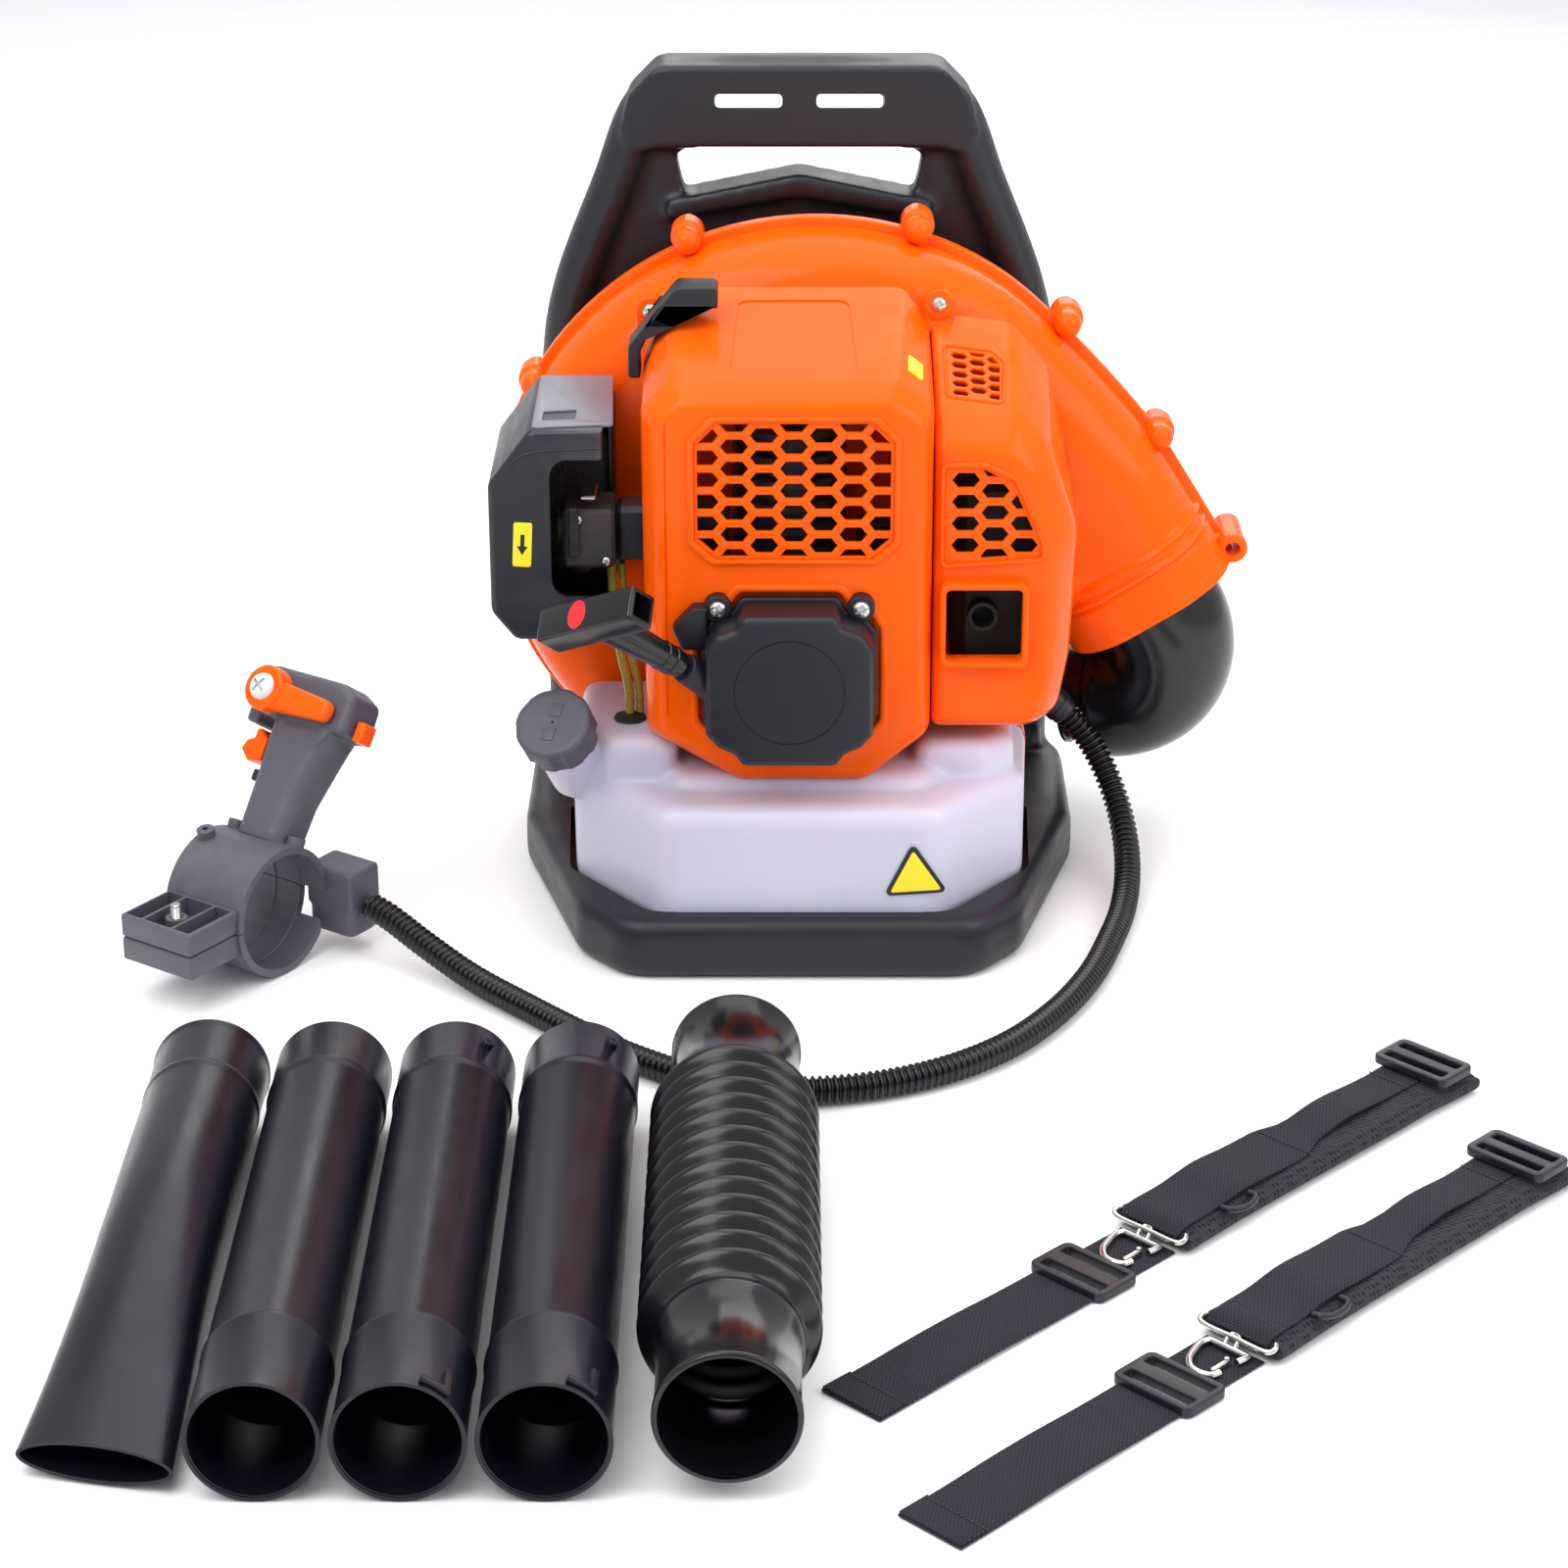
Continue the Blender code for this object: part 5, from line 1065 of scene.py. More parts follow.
def make_engine_cover():
    """The orange engine cover with its grille, top recess and the hollow round the starter."""
    front = [(-0.066, 0.329), (0.048, 0.329), (0.068, 0.317), (0.070, 0.135),
             (0.036, 0.106), (-0.034, 0.106), (-0.079, 0.135), (-0.080, 0.317)]
    edge = [(-0.070, 0.338), (0.053, 0.338), (0.0742, 0.322), (0.0742, 0.130),
            (0.038, 0.1005), (-0.036, 0.1005), (-0.0875, 0.130), (-0.0885, 0.322)]
    rear = [(-0.077, 0.365), (0.058, 0.365), (0.0742, 0.345), (0.0742, 0.130),
            (0.038, 0.1005), (-0.036, 0.1005), (-0.0875, 0.130), (-0.0885, 0.335)]
    window = [(-0.0470, 0.3190), (0.0400, 0.3190), (0.0520, 0.3070), (0.0520, 0.2500), (0.0400, 0.2390),
              (-0.0470, 0.2390), (-0.0590, 0.2500), (-0.0590, 0.3070)]
    opening = plate(window, COVER_FRONT - 0.02, COVER_FRONT + 0.02)
    axle = rod((AXIS_X, -0.14, AXIS_Z), (AXIS_X, -0.10, AXIS_Z), 0.040, sides=48)
    port = block((0.066, -0.078, 0.195), (0.080, -0.038, 0.250))
    inlet = block((-0.100, -0.100, 0.200), (-0.080, -0.040, 0.290), 0.006)
    recess = starter_outline(0.0045)
    hollow = plate(rounded(recess, 0.006), COVER_FRONT - 0.01, COVER_FRONT + 0.01)
    slope = Vector((0, 0.092, 0.027)).normalized()
    top_place = frame_matrix(Vector((-0.0035, -0.104, 0.338)), RIGHT, -RIGHT.cross(slope), slope)
    top_outline = [(-0.036, 0.006), (0.036, 0.006), (0.031, 0.082), (-0.031, 0.082)]
    top_panel = plate(rounded(top_outline, 0.006), -0.01, 0.0009, matrix=top_place)
    side_line = block((-0.0752, -0.1200, 0.145), (-0.0742, -0.1170, 0.318))
    shell = cover_shell([(COVER_FRONT, front), (COVER_FRONT + 0.014, edge), (COVER_REAR, rear)], 0.005,
                        [opening, axle, port, inlet, hollow, top_panel, side_line])
    axle_hole = [(AXIS_X + 0.041 * math.cos(step * 0.13), AXIS_Z + 0.041 * math.sin(step * 0.13))
                 for step in range(48)]
    pan = plate(rounded(starter_outline(0.0060), 0.006), -0.1120, -0.1095, holes=(axle_hole,))
    keep(pan, "starter_recess_floor", "orange_shell")
    lip = plate(rounded(starter_outline(0.0100), 0.008), COVER_FRONT - 0.0024, COVER_FRONT + 0.0070,
                holes=(rounded(recess, 0.006),), edge=0.0020, segments=4)
    keep(lip, "starter_recess_lip", "orange_shell")
    for x, name in ((-0.0830, "left"), (0.0790, "right")):
        boss = rod((x, -0.0040, 0.3400), (x, -0.0200, 0.3400), 0.0070, sides=36, round_end=0.0012)
        keep(boss, "cover_boss_" + name, "orange_shell")
        screw("cover_screw_" + name, (x, -0.0200, 0.3400), FORWARDS, 0.0048)
    chamfer = Vector((0.0212, 0, -0.0160)).normalized()
    back = Vector((0.0024, 0.092, 0.0250)).normalized()
    tag_place = frame_matrix(Vector((0.0640, -0.078, 0.3375)), chamfer, -chamfer.cross(back), back)
    tag = rounded([(-0.005, -0.008), (0.005, -0.008), (0.005, 0.008), (-0.005, 0.008)], 0.0012)
    keep(plate(tag, -0.0006, 0.0006, edge=0.0001, matrix=tag_place), "cover_label", "label_yellow")
    keep(shell, "engine_cover_shell", "orange_shell", "root", ("engine_cover",), angle=25)
    keep(grille_frame(window, 0.0042, COVER_FRONT - 0.0022, COVER_FRONT + 0.0010), "engine_grille_frame",
         "orange_shell")
    keep(honeycomb(window, COVER_FRONT + 0.0002, COVER_FRONT + 0.0030), "engine_grille", "orange_shell",
         angle=30)


def make_muffler_cover():
    """The cover over the muffler with its two grilles and the exhaust hood."""
    left = 0.0748
    front = [(left, 0.300), (0.118, 0.296), (0.130, 0.285), (0.143, 0.235), (0.141, 0.165),
             (0.137, 0.142), (0.128, 0.134), (left, 0.134)]
    edge = [(left, 0.318), (0.121, 0.312), (0.138, 0.297), (0.157, 0.245), (0.154, 0.170),
            (0.148, 0.136), (0.132, 0.1255), (left, 0.1255)]
    rear = [(left, 0.350), (0.121, 0.344), (0.142, 0.318), (0.157, 0.250), (0.154, 0.170),
            (0.148, 0.136), (0.132, 0.1255), (left, 0.1255)]
    window = [(0.0805, 0.2880), (0.1030, 0.2880), (0.1190, 0.2800), (0.1345, 0.2440), (0.1355, 0.2350),
              (0.0805, 0.2310)]
    opening = plate(window, -0.13, -0.09)
    hood_hole = block((0.0815, -0.130, 0.1755), (0.1255, -0.090, 0.2185), 0.003)
    port = block((0.070, -0.080, 0.193), (0.080, -0.036, 0.252))
    along = Vector((0.0462, 0, -0.0060)).normalized()
    back = Vector((0, 0.074, 0.032)).normalized()
    top_place = frame_matrix(Vector((left, -0.086, 0.318)), along, -along.cross(back), back)
    top_window = [(0.0075, 0.010), (0.0075, 0.052), (0.0340, 0.052), (0.0400, 0.044), (0.0380, 0.010)]
    top_opening = plate(top_window, -0.01, 0.01, matrix=top_place)
    shell = cover_shell([(-0.104, front), (-0.086, edge), (COVER_REAR, rear)], 0.006,
                        [opening, hood_hole, port, top_opening])
    keep(grille_frame(top_window, 0.0026, -0.0012, 0.0010, top_place), "muffler_top_frame", "orange_shell")
    keep(honeycomb(top_window, -0.0002, 0.0020, top_place, 0.62), "muffler_top_grille", "orange_shell",
         angle=30)
    keep(shell, "muffler_cover_shell", "orange_shell", "root", ("muffler_cover",), angle=25)
    keep(grille_frame(window, 0.0036, -0.1062, -0.1030), "muffler_grille_frame", "orange_shell")
    keep(honeycomb(window, -0.1036, -0.1006), "muffler_grille", "orange_shell", angle=30)
    hood_mouth = rounded([(0.0820, 0.1755), (0.1250, 0.1755), (0.1250, 0.2185), (0.0820, 0.2185)], 0.003)
    hood = plate(rounded([(0.0785, 0.172), (0.1285, 0.172), (0.1285, 0.222), (0.0785, 0.222)], 0.005),
                 -0.1140, -0.1020, holes=(hood_mouth,), edge=0.0014)
    keep(hood, "exhaust_hood", "orange_shell", angle=30)


# ---------------------------------------------------------------- starter and latch

GRIP_PLACE = frame_matrix(PULL_START + PULL_AXIS * GRIP_DISTANCE, GRIP_AXIS, PULL_AXIS.cross(GRIP_AXIS),
                          PULL_AXIS)


def make_starter():
    """The recoil starter: housing with a ring in its face, rope guide, screw ears and the pull grip."""
    shell = plate(rounded(starter_outline(0.0), 0.0056), STARTER_FRONT, STARTER_REAR, edge=0.0050, segments=5)
    flange = plate(rounded(starter_outline(0.0022), 0.005), -0.1240, -0.1184, edge=0.0012)
    out, ear_front, up = STARTER_SCREW
    ears = [rod((AXIS_X + side * out, -0.1184, up), (AXIS_X + side * out, ear_front, up), 0.0078,
                sides=36, round_end=0.0012) for side, name in SIDES]
    corner = softened(plate([(-0.0600, 0.2140), (-0.0715, 0.2020), (-0.0660, 0.1890), (-0.0520, 0.1890),
                             (-0.0520, 0.2140)], -0.1300, STARTER_REAR), 0.0015)
    guide_end = PULL_START + PULL_AXIS * 0.020
    guide = rod(PULL_START - PULL_AXIS * 0.008, guide_end, 0.0108, 0.0085, sides=40, round_end=0.001)
    shell = combine(shell, [flange, *ears, corner, guide], "UNION")
    cavity = rod((AXIS_X, STARTER_FRONT + 0.004, AXIS_Z), (AXIS_X, -0.10, AXIS_Z), 0.039, sides=64)
    bore = rod(PULL_START - PULL_AXIS * 0.030, guide_end + PULL_AXIS * 0.01, 0.0035, sides=24)
    groove = lathe([(0.0303, -0.0005), (0.0312, -0.0005), (0.0312, 0.0010), (0.0303, 0.0010)],
                   facing((AXIS_X, STARTER_FRONT, 0.1715), Vector((0, -1, 0))), 96, loop=True)
    shell = combine(shell, [cavity, bore, groove])
    keep(shell, "starter_housing_moulded", "starter_black", "root", ("starter_housing",))
    for side, name in SIDES:
        screw("starter_screw_" + name, (AXIS_X + side * out, ear_front, up), FORWARDS, 0.0052)
    bar = block((-0.036, -0.0100, -0.0095), (0.034, 0.0100, 0.0095), 0.0022, 4, GRIP_PLACE)
    stem_profile = [(0.0, 0.0236), (0.0066, 0.0236), (0.0075, 0.0245), (0.0078, 0.0290), (0.0085, 0.0294),
                    (0.0085, 0.0325), (0.0078, 0.0329), (0.0078, 0.0360), (0.0086, 0.0364), (0.0086, 0.0395),
                    (0.0079, 0.0400), (0.0088, 0.0600), (0.0095, GRIP_DISTANCE), (0.0, GRIP_DISTANCE)]
    bar = combine(bar, [lathe(stem_profile, facing(PULL_START, PULL_AXIS), 48)], "UNION")
    hollow = block((0.012, -0.0070, -0.0065), (0.050, 0.0070, 0.0065), 0.0010, 2, GRIP_PLACE)
    keep(combine(bar, [hollow]), "starter_grip_moulded", "black_gloss", "pull_grip", ("starter_grip",))
    oval = [(-0.006 + 0.0065 * math.cos(turn), 0.0085 * math.sin(turn)) for turn in turns(40)]
    keep(plate(oval, 0.0093, 0.0099, plane="XY", edge=0.0002, matrix=GRIP_PLACE), "grip_oval", "mark_red",
         "pull_grip")
    path = [PULL_START + PULL_AXIS * (0.004 + 0.0215 * step / ROPE_STEPS) for step in range(ROPE_STEPS + 1)]
    rope = keep(sweep(path, lambda distance: ROPE_RADIUS, 16), "starter_rope_run", "rope_cord", None)
    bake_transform(rope)


def make_latch():
    """The latch over the top left corner of the engine cover, with two raised ribs."""
    outline = [(-0.046, 0.3655), (-0.046, 0.3775), (-0.069, 0.3775), (-0.0965, 0.343), (-0.0965, 0.325),
               (-0.0897, 0.325), (-0.0902, 0.3385), (-0.0785, 0.3655)]
    body = plate(rounded(outline, [0.001, 0.003, 0.006, 0.006, 0.002, 0.001, 0.002, 0.002]), -0.058, -0.036,
                 edge=0.0014)
    ribs = [block((-0.0690 - 0.0085 * step, -0.0590, 0.3605 - 0.0100 * step),
                  (-0.0655 - 0.0085 * step, -0.0350, 0.3640 - 0.0100 * step), 0.0008,
                  matrix=Matrix.Translation((-0.0105, 0, 0.0085))) for step in range(2)]
    keep(combine(body, ribs, "UNION"), "cover_latch_moulded", "black_moulded", "latch", ("cover_latch",))


# ---------------------------------------------------------------- intake

def make_intake():
    """The air filter cover with its corner notch, lid, trim line and arrow label; small carburettor parts."""
    outline = [(-0.1094, 0.3116), (-0.150, 0.3116), (-0.1735, 0.280), (-0.1735, 0.205), (-0.160, 0.188),
               (-0.1094, 0.188)]
    cover = plate(rounded(outline, [0.0, 0.007, 0.010, 0.010, 0.007, 0.0]), -0.112, -0.008, edge=0.0035,
                  segments=5)
    inner = [(-0.100, 0.3091), (-0.149, 0.3091), (-0.171, 0.279), (-0.171, 0.206), (-0.159, 0.1905),
             (-0.100, 0.1905)]
    notch = [(-0.100, 0.295), (-0.1390, 0.295), (-0.1390, 0.214), (-0.100, 0.214)]
    notch_cut = plate(rounded(notch, [0, 0.010, 0.010, 0]), -0.130, -0.056)
    cover = combine(cover, [plate(inner, -0.1095, -0.0105), notch_cut])
    keep(cover, "air_filter_cover_moulded", "filter_black", "filter_cover", ("air_filter_cover",),
         angle=40)
    lid_plan = [(-0.1485, -0.1080), (-0.1485, -0.0120), (-0.1070, -0.0120), (-0.1035, -0.1020)]
    lid_slot = [(-0.1430, -0.0960), (-0.1430, -0.0790), (-0.1250, -0.0760), (-0.1250, -0.0930)]
    lid = plate(rounded(lid_plan, 0.003), 0.3108, 0.3128, holes=(rounded(lid_slot, 0.001),), plane="XY",
                edge=0.0006)
    # The lid takes the lighter grey, a painted reflection on its top.
    keep(lid, "filter_cover_lid", "lid_painted_reflection_grey", "filter_cover")
    trim = [Vector(place) for place in ((-0.1610, -0.1119, 0.2900), (-0.1580, -0.1122, 0.2950),
                                        (-0.1500, -0.1122, 0.2990), (-0.1120, -0.1122, 0.3020))]
    keep(sweep(smooth_route(trim, 0.002), lambda distance: 0.0006, 10), "filter_cover_trim", "filter_black",
         "filter_cover")
    tilt = Matrix.Translation((-0.1548, -0.1120, 0.2455)) @ Matrix.Rotation(math.radians(3), 4, "Y")
    tag = [(-0.0052, -0.0130), (0.0052, -0.0130), (0.0052, 0.0130), (-0.0052, 0.0130)]
    keep(plate(rounded(tag, 0.0014), -0.0004, 0.0001, edge=0.0001, matrix=tilt), "filter_label",
         "label_yellow",
         "filter_cover")
    arrow = [(-0.0011, 0.0060), (-0.0011, -0.0010), (-0.0030, -0.0010), (0.0, -0.0060), (0.0030, -0.0010),
             (0.0011, -0.0010), (0.0011, 0.0060)]
    keep(plate(arrow, -0.0006, -0.0003, matrix=tilt), "filter_label_arrow", "label_black", "filter_cover")
    for index, place in enumerate(((-0.1245, -0.0965, 0.2545), (-0.1090, -0.0965, 0.2300))):
        screw("carburetor_screw_%d" % (index + 1), place, FORWARDS, 0.0028)
    bowl = lathe([(0.0, 0.2205), (0.0085, 0.2205), (0.0100, 0.2220), (0.0100, 0.2255), (0.0, 0.2255)],
                 Matrix.Translation((-0.1090, -0.0720, 0.0)), 32)
    keep(bowl, "carburetor_bowl", "cast_alloy")
    start = Vector(CONDUIT_ROUTE[0])
    heading = (Vector(CONDUIT_ROUTE[1]) - start).normalized()
    profile = [(0.0, -0.0180), (0.0112, -0.0180), (0.0118, -0.0165), (0.0118, -0.0130), (0.0106, -0.0120)]
    for step in range(5):
        at = -0.0110 + 0.0052 * step
        wide = 0.0106 - 0.0003 * step
        profile += [(wide, at), (wide, at + 0.0030), (wide - 0.0008, at + 0.0034),
                    (wide - 0.0008, at + 0.0048)]
    profile += [(0.0088, 0.0160), (0.0079, 0.0172), (0.0, 0.0172)]
    keep(lathe(profile, facing(start, heading), 40), "conduit_gland_sleeve", "black_moulded", "root",
         ("conduit_gland",))


# ---------------------------------------------------------------- throttle handle

HANDLE_UP = HANDLE_ACROSS * math.cos(HANDLE_LEAN) + UP * math.sin(HANDLE_LEAN)
CLAMP_PLACE = frame_matrix(HANDLE_ORIGIN, HANDLE_ALONG, HANDLE_ACROSS, UP)
HANDLE_PLACE = frame_matrix(HANDLE_ORIGIN, HANDLE_ALONG, HANDLE_ALONG.cross(HANDLE_UP), HANDLE_UP)


def clamp_band(low, high):
    """One half of the clamp ring, with two shallow ribs inside, between two heights."""
    wide = CLAMP_HALF_WIDTH
    profile = [(CLAMP_INNER, wide), (CLAMP_OUTER, wide), (CLAMP_OUTER, -wide), (CLAMP_INNER, -wide)]
    for place in (-0.009, 0.009):
        profile += [(CLAMP_INNER, place - 0.0012), (CLAMP_INNER - 0.0008, place - 0.0006),
                    (CLAMP_INNER - 0.0008, place + 0.0006), (CLAMP_INNER, place + 0.0012)]
    band = lathe(profile, CLAMP_PLACE @ Matrix.Rotation(math.pi / 2, 4, "Y"), 96, loop=True)
    return combine(band, [block((-0.05, -0.07, low), (0.05, 0.07, high), matrix=CLAMP_PLACE)], "INTERSECT")


def clamp_flange(low, high, open_up):
    """The bolted flange of a clamp half: a tray with two cross ribs and a boss for the bolt."""
    tray = block((-0.026, -0.076, low), (0.026, -0.0355, high), 0.0015, matrix=CLAMP_PLACE)
    floor = low + 0.0028 if open_up else low - 0.001
    ceiling = high + 0.01 if open_up else high - 0.0028
    pockets = [block((left, -0.0735, floor), (right, -0.0385, ceiling), matrix=CLAMP_PLACE)
               for left, right in ((-0.0235, -0.0120), (-0.0100, 0.0100), (0.0120, 0.0235))]
    tray = combine(tray, pockets)
    boss = rod(CLAMP_PLACE @ Vector((0, -0.058, low + 0.0005)),
               CLAMP_PLACE @ Vector((0, -0.058, high - 0.002)), 0.0062,
               sides=36)
    return combine(tray, [boss], "UNION")


def bolt_cut():
    """Cutter of the hole for the clamp's bolt."""
    return rod(CLAMP_PLACE @ Vector((0, -0.058, -0.03)), CLAMP_PLACE @ Vector((0, -0.058, 0.03)), 0.0034,
               sides=28)


def make_handle():
    """The throttle handle: rounded grip with cable box, clamp halves, bolt, trigger, lever and switch."""
    grip_half = [(-0.0170, 0.030), (-0.018, 0.072), (-0.0195, 0.096), (-0.0195, 0.110), (0.030, 0.110),
                 (0.024, 0.086),
                 (0.0185, 0.062), (0.0175, 0.030)]
    stick = plate(rounded(grip_half, 0.004), -0.015, 0.015, edge=0.0105, segments=6, matrix=HANDLE_PLACE)
    head = plate(rounded([(-0.034, 0.104), (-0.037, 0.120), (-0.031, 0.134), (0.022, 0.134), (0.034, 0.128),
                          (0.035, 0.104)],
                         0.005), -0.015, 0.015, edge=0.0045, segments=5, matrix=HANDLE_PLACE)
    nose = plate(rounded([(-0.036, 0.0980), (-0.036, 0.108), (-0.026, 0.108), (-0.0275, 0.0985)], 0.002),
                 -0.014, 0.014, edge=0.002, matrix=HANDLE_PLACE)
    box_top = block((0.0120, 0.0365, -0.0120), (0.0460, 0.0630, 0.0130), 0.0022, matrix=CLAMP_PLACE)
    box_low = block((0.0120, 0.0365, -0.0290), (0.0460, 0.0630, -0.0050), 0.0065, 4, CLAMP_PLACE)
    grip = blown([stick, head, nose, box_top, box_low], 0.0011, 5)
    ears = []
    holes = [bolt_cut()]
    for along, turn in ((-0.0225, 100), (0.0225, 62), (-0.0225, 62)):
        outward = Vector((0, math.cos(math.radians(turn)), math.sin(math.radians(turn))))
        seat = Vector((along, 0, 0)) + outward * 0.0365
        tip = seat + outward * 0.0062
        ears.append(rod(CLAMP_PLACE @ seat, CLAMP_PLACE @ tip, 0.0052, sides=28, round_end=0.0006))
        holes.append(rod(CLAMP_PLACE @ (seat + outward * 0.003), CLAMP_PLACE @ (tip + outward * 0.01), 0.0018,
                         sides=20))
    holes.append(block((-0.032, -0.0092, 0.0720), (-0.0065, 0.0092, 0.0990), 0.001, matrix=HANDLE_PLACE))
    grip = combine(grip, [clamp_band(0.0003, 0.07), clamp_flange(0.0003, 0.0140, True), *ears], "UNION")
    grip = combine(grip, holes)
    keep(grip, "handle_grip_moulded", "handle_grey", "root", ("handle_grip",), angle=50)
    tab = block((-0.0245, -0.0055, 0.0665), (-0.0165, 0.0055, 0.0735), 0.0012, matrix=HANDLE_PLACE)
    keep(tab, "handle_tab", "black_moulded")
    lower = combine(clamp_band(-0.07, -0.0003), [clamp_flange(-0.0140, -0.0003, False)], "UNION")
    room = block((0.0100, 0.0300, -0.0320), (0.0500, 0.0700, 0.0200), matrix=CLAMP_PLACE)
    keep(combine(lower, [room, bolt_cut()]), "clamp_half_moulded", "handle_grey", "root", ("clamp_half",))
    thread = [(0.0, 0.0200), (0.0024, 0.0200), (0.0030, 0.0194)]
    for step in range(22):
        height = 0.0190 - step * 0.0010
        thread += [(0.0030, height), (0.0025, height - 0.0005)]
    thread += [(0.0030, -0.0143), (0.0, -0.0143)]
    at_bolt = CLAMP_PLACE @ Matrix.Translation((0, -0.058, 0))
    head_low = lathe([(0.0, -0.0190), (0.0052, -0.0190), (0.0060, -0.0182), (0.0060, -0.0143),
                      (0.0, -0.0143)], at_bolt, 6)
    keep(combine(lathe(thread, at_bolt, 24), [head_low], "UNION"), "clamp_bolt_threaded", "steel", "root",
         ("clamp_bolt",))
    trigger_outline = [(-0.0265, 0.0965), (-0.0203, 0.0915), (-0.0203, 0.079), (-0.0300, 0.0765),
                       (-0.0370, 0.0825),
                       (-0.0345, 0.0885), (-0.0300, 0.0905), (-0.0300, 0.0965)]
    trigger = plate(rounded(trigger_outline, 0.0018), -0.008, 0.008, edge=0.0016, segments=4,
                    matrix=HANDLE_PLACE)
    keep(trigger, "throttle_trigger_moulded", "orange_shell", "trigger", ("throttle_trigger",))
    pivot = HANDLE_PLACE @ Vector((-0.022, 0.0155, 0.118))
    side = HANDLE_PLACE.to_3x3() @ Vector((0, 1, 0))
    disc = rod(pivot, pivot + side * 0.0110, 0.0135, sides=56, round_end=0.0028)
    arm = plate(rounded([(-0.022, 0.106), (-0.022, 0.1255), (0.026, 0.1205), (0.026, 0.1085)],
                        [0, 0, 0.005, 0.005]),
                0.0157, 0.0250, edge=0.003, segments=4, matrix=HANDLE_PLACE)
    keep(combine(disc, [arm], "UNION"), "lock_lever_moulded", "orange_shell", "lever", ("lock_lever",),
         angle=40)
    screw("lock_lever_screw", pivot + side * 0.0108, side, 0.0080, "lever", "screw_white")
    switch = block((0.0355, -0.006, 0.104), (0.0415, 0.006, 0.116), 0.0012, matrix=HANDLE_PLACE)
    ribs = [block((0.0410, -0.0050, at), (0.0420, 0.0050, at + 0.0012), 0.0004, matrix=HANDLE_PLACE)
            for at in (0.1065, 0.1092, 0.1119)]
    keep(combine(switch, ribs, "UNION"), "stop_switch_moulded", "orange_shell", "switch", ("stop_switch",))


# ---------------------------------------------------------------- tubes, nozzle and bellows

LAID_DOWN = Matrix.Rotation(-math.pi / 2, 4, "X")


def tube_wall(outside, wall):
    """A closed profile from the outside one, its inside a wall's thickness within."""
    inside = [(radius - wall, height) for radius, height in reversed(outside)]
    return outside + inside


def make_tubes():
    """Three blow tubes: stepped ends with mould rings, bayonet pins at one end and lugs at the other."""
    full = TUBE_RADIUS
    far = -TUBE_LENGTH
    height = TUBE_RADIUS + CLEARANCE
    outside = [(full - 0.0012, 0.0), (full - 0.0006, -0.0012), (full - 0.0006, -0.0385), (full, -0.0400),
               (full, -0.0425), (full - 0.0008, -0.0440), (full - 0.0012, -0.0470),
               (full - 0.0012, far + 0.0650),
               (full - 0.0004, far + 0.0625), (full, far + 0.0610), (full, far + 0.0590),
               (full - 0.0008, far + 0.0575),
               (full - 0.0006, far + 0.0012), (full, far + 0.0010), (full, far)]
    for index, x in enumerate(TUBE_PLACES):
        place = Matrix.Translation((x, TUBE_FAR_Y, height)) @ LAID_DOWN
        tube = lathe(tube_wall(outside, TUBE_WALL), place, TUBE_SIDES, loop=True)
        extras = []
        if index:
            outward = Vector((0.55, 0, 0.835)).normalized()
            centre = Vector((x, TUBE_FAR_Y - 0.0200, height))
            extras.append(rod(centre + outward * (full - 0.0015), centre + outward * (full + 0.0032), 0.0033,
                              sides=24, round_end=0.0010))
            seat = frame_matrix(Vector((x, TUBE_FAR_Y + far, height)), outward.cross(BACKWARDS), BACKWARDS,
                                outward)
            for right, back in ((0.0075, 0.0068), (-0.0040, 0.0220)):
                extras.append(block((-0.0075, 0.0030, full - 0.0016), (right, back, full + 0.0020), 0.0006,
                                    matrix=seat))
        tube = combine(tube, extras, "UNION")
        keep(tube, "blow_tube_%d_moulded" % (index + 1), "tube_black", "root",
             ("blow_tube_%d" % (index + 1),),
             angle=40)


def make_nozzle():
    """The fishtail nozzle: a round socket with two rings that flattens into a wide slanted mouth."""
    stations = [(0.0, -0.3100, 0.0310, 0.0310), (0.045, -0.3102, 0.0305, 0.0305),
                (0.16, -0.3115, 0.0300, 0.0300),
                (0.23, -0.3135, 0.0315, 0.0240), (0.29, -0.3160, 0.0345, 0.0165),
                (NOZZLE_LENGTH, -0.3185, 0.0375, 0.0110)]
    path = smooth_route([(station[0], station[2], station[3]) for station in stations], 0.0016)
    rows = []
    for distance, wide, high in path:
        after = next(index for index in range(1, 6) if distance <= stations[index][0] + 1e-6)
        before = stations[after - 1]
        share = (distance - before[0]) / (stations[after][0] - before[0])
        x = before[1] + (stations[after][1] - before[1]) * share
        swell = -0.0008
        for centre, height in ((0.0012, 0.0008), (0.0440, 0.0008)):
            swell += height * math.exp(-((distance - centre) / 0.0018) ** 2)
        row = []
        for turn in turns(TUBE_SIDES):
            cut = NOZZLE_SLANT * (distance / NOZZLE_LENGTH) ** 6 * (0.5 - 0.5 * math.cos(turn))
            row.append(Vector((x + (wide + swell) * math.cos(turn), TUBE_FAR_Y - distance + cut,
                               high + 0.0006 + (high + swell) * math.sin(turn))))
        rows.append(row)
    keep(walled(skin(rows), TUBE_WALL), "fishtail_nozzle_moulded", "tube_black", "root", ("fishtail_nozzle",),
         angle=50)


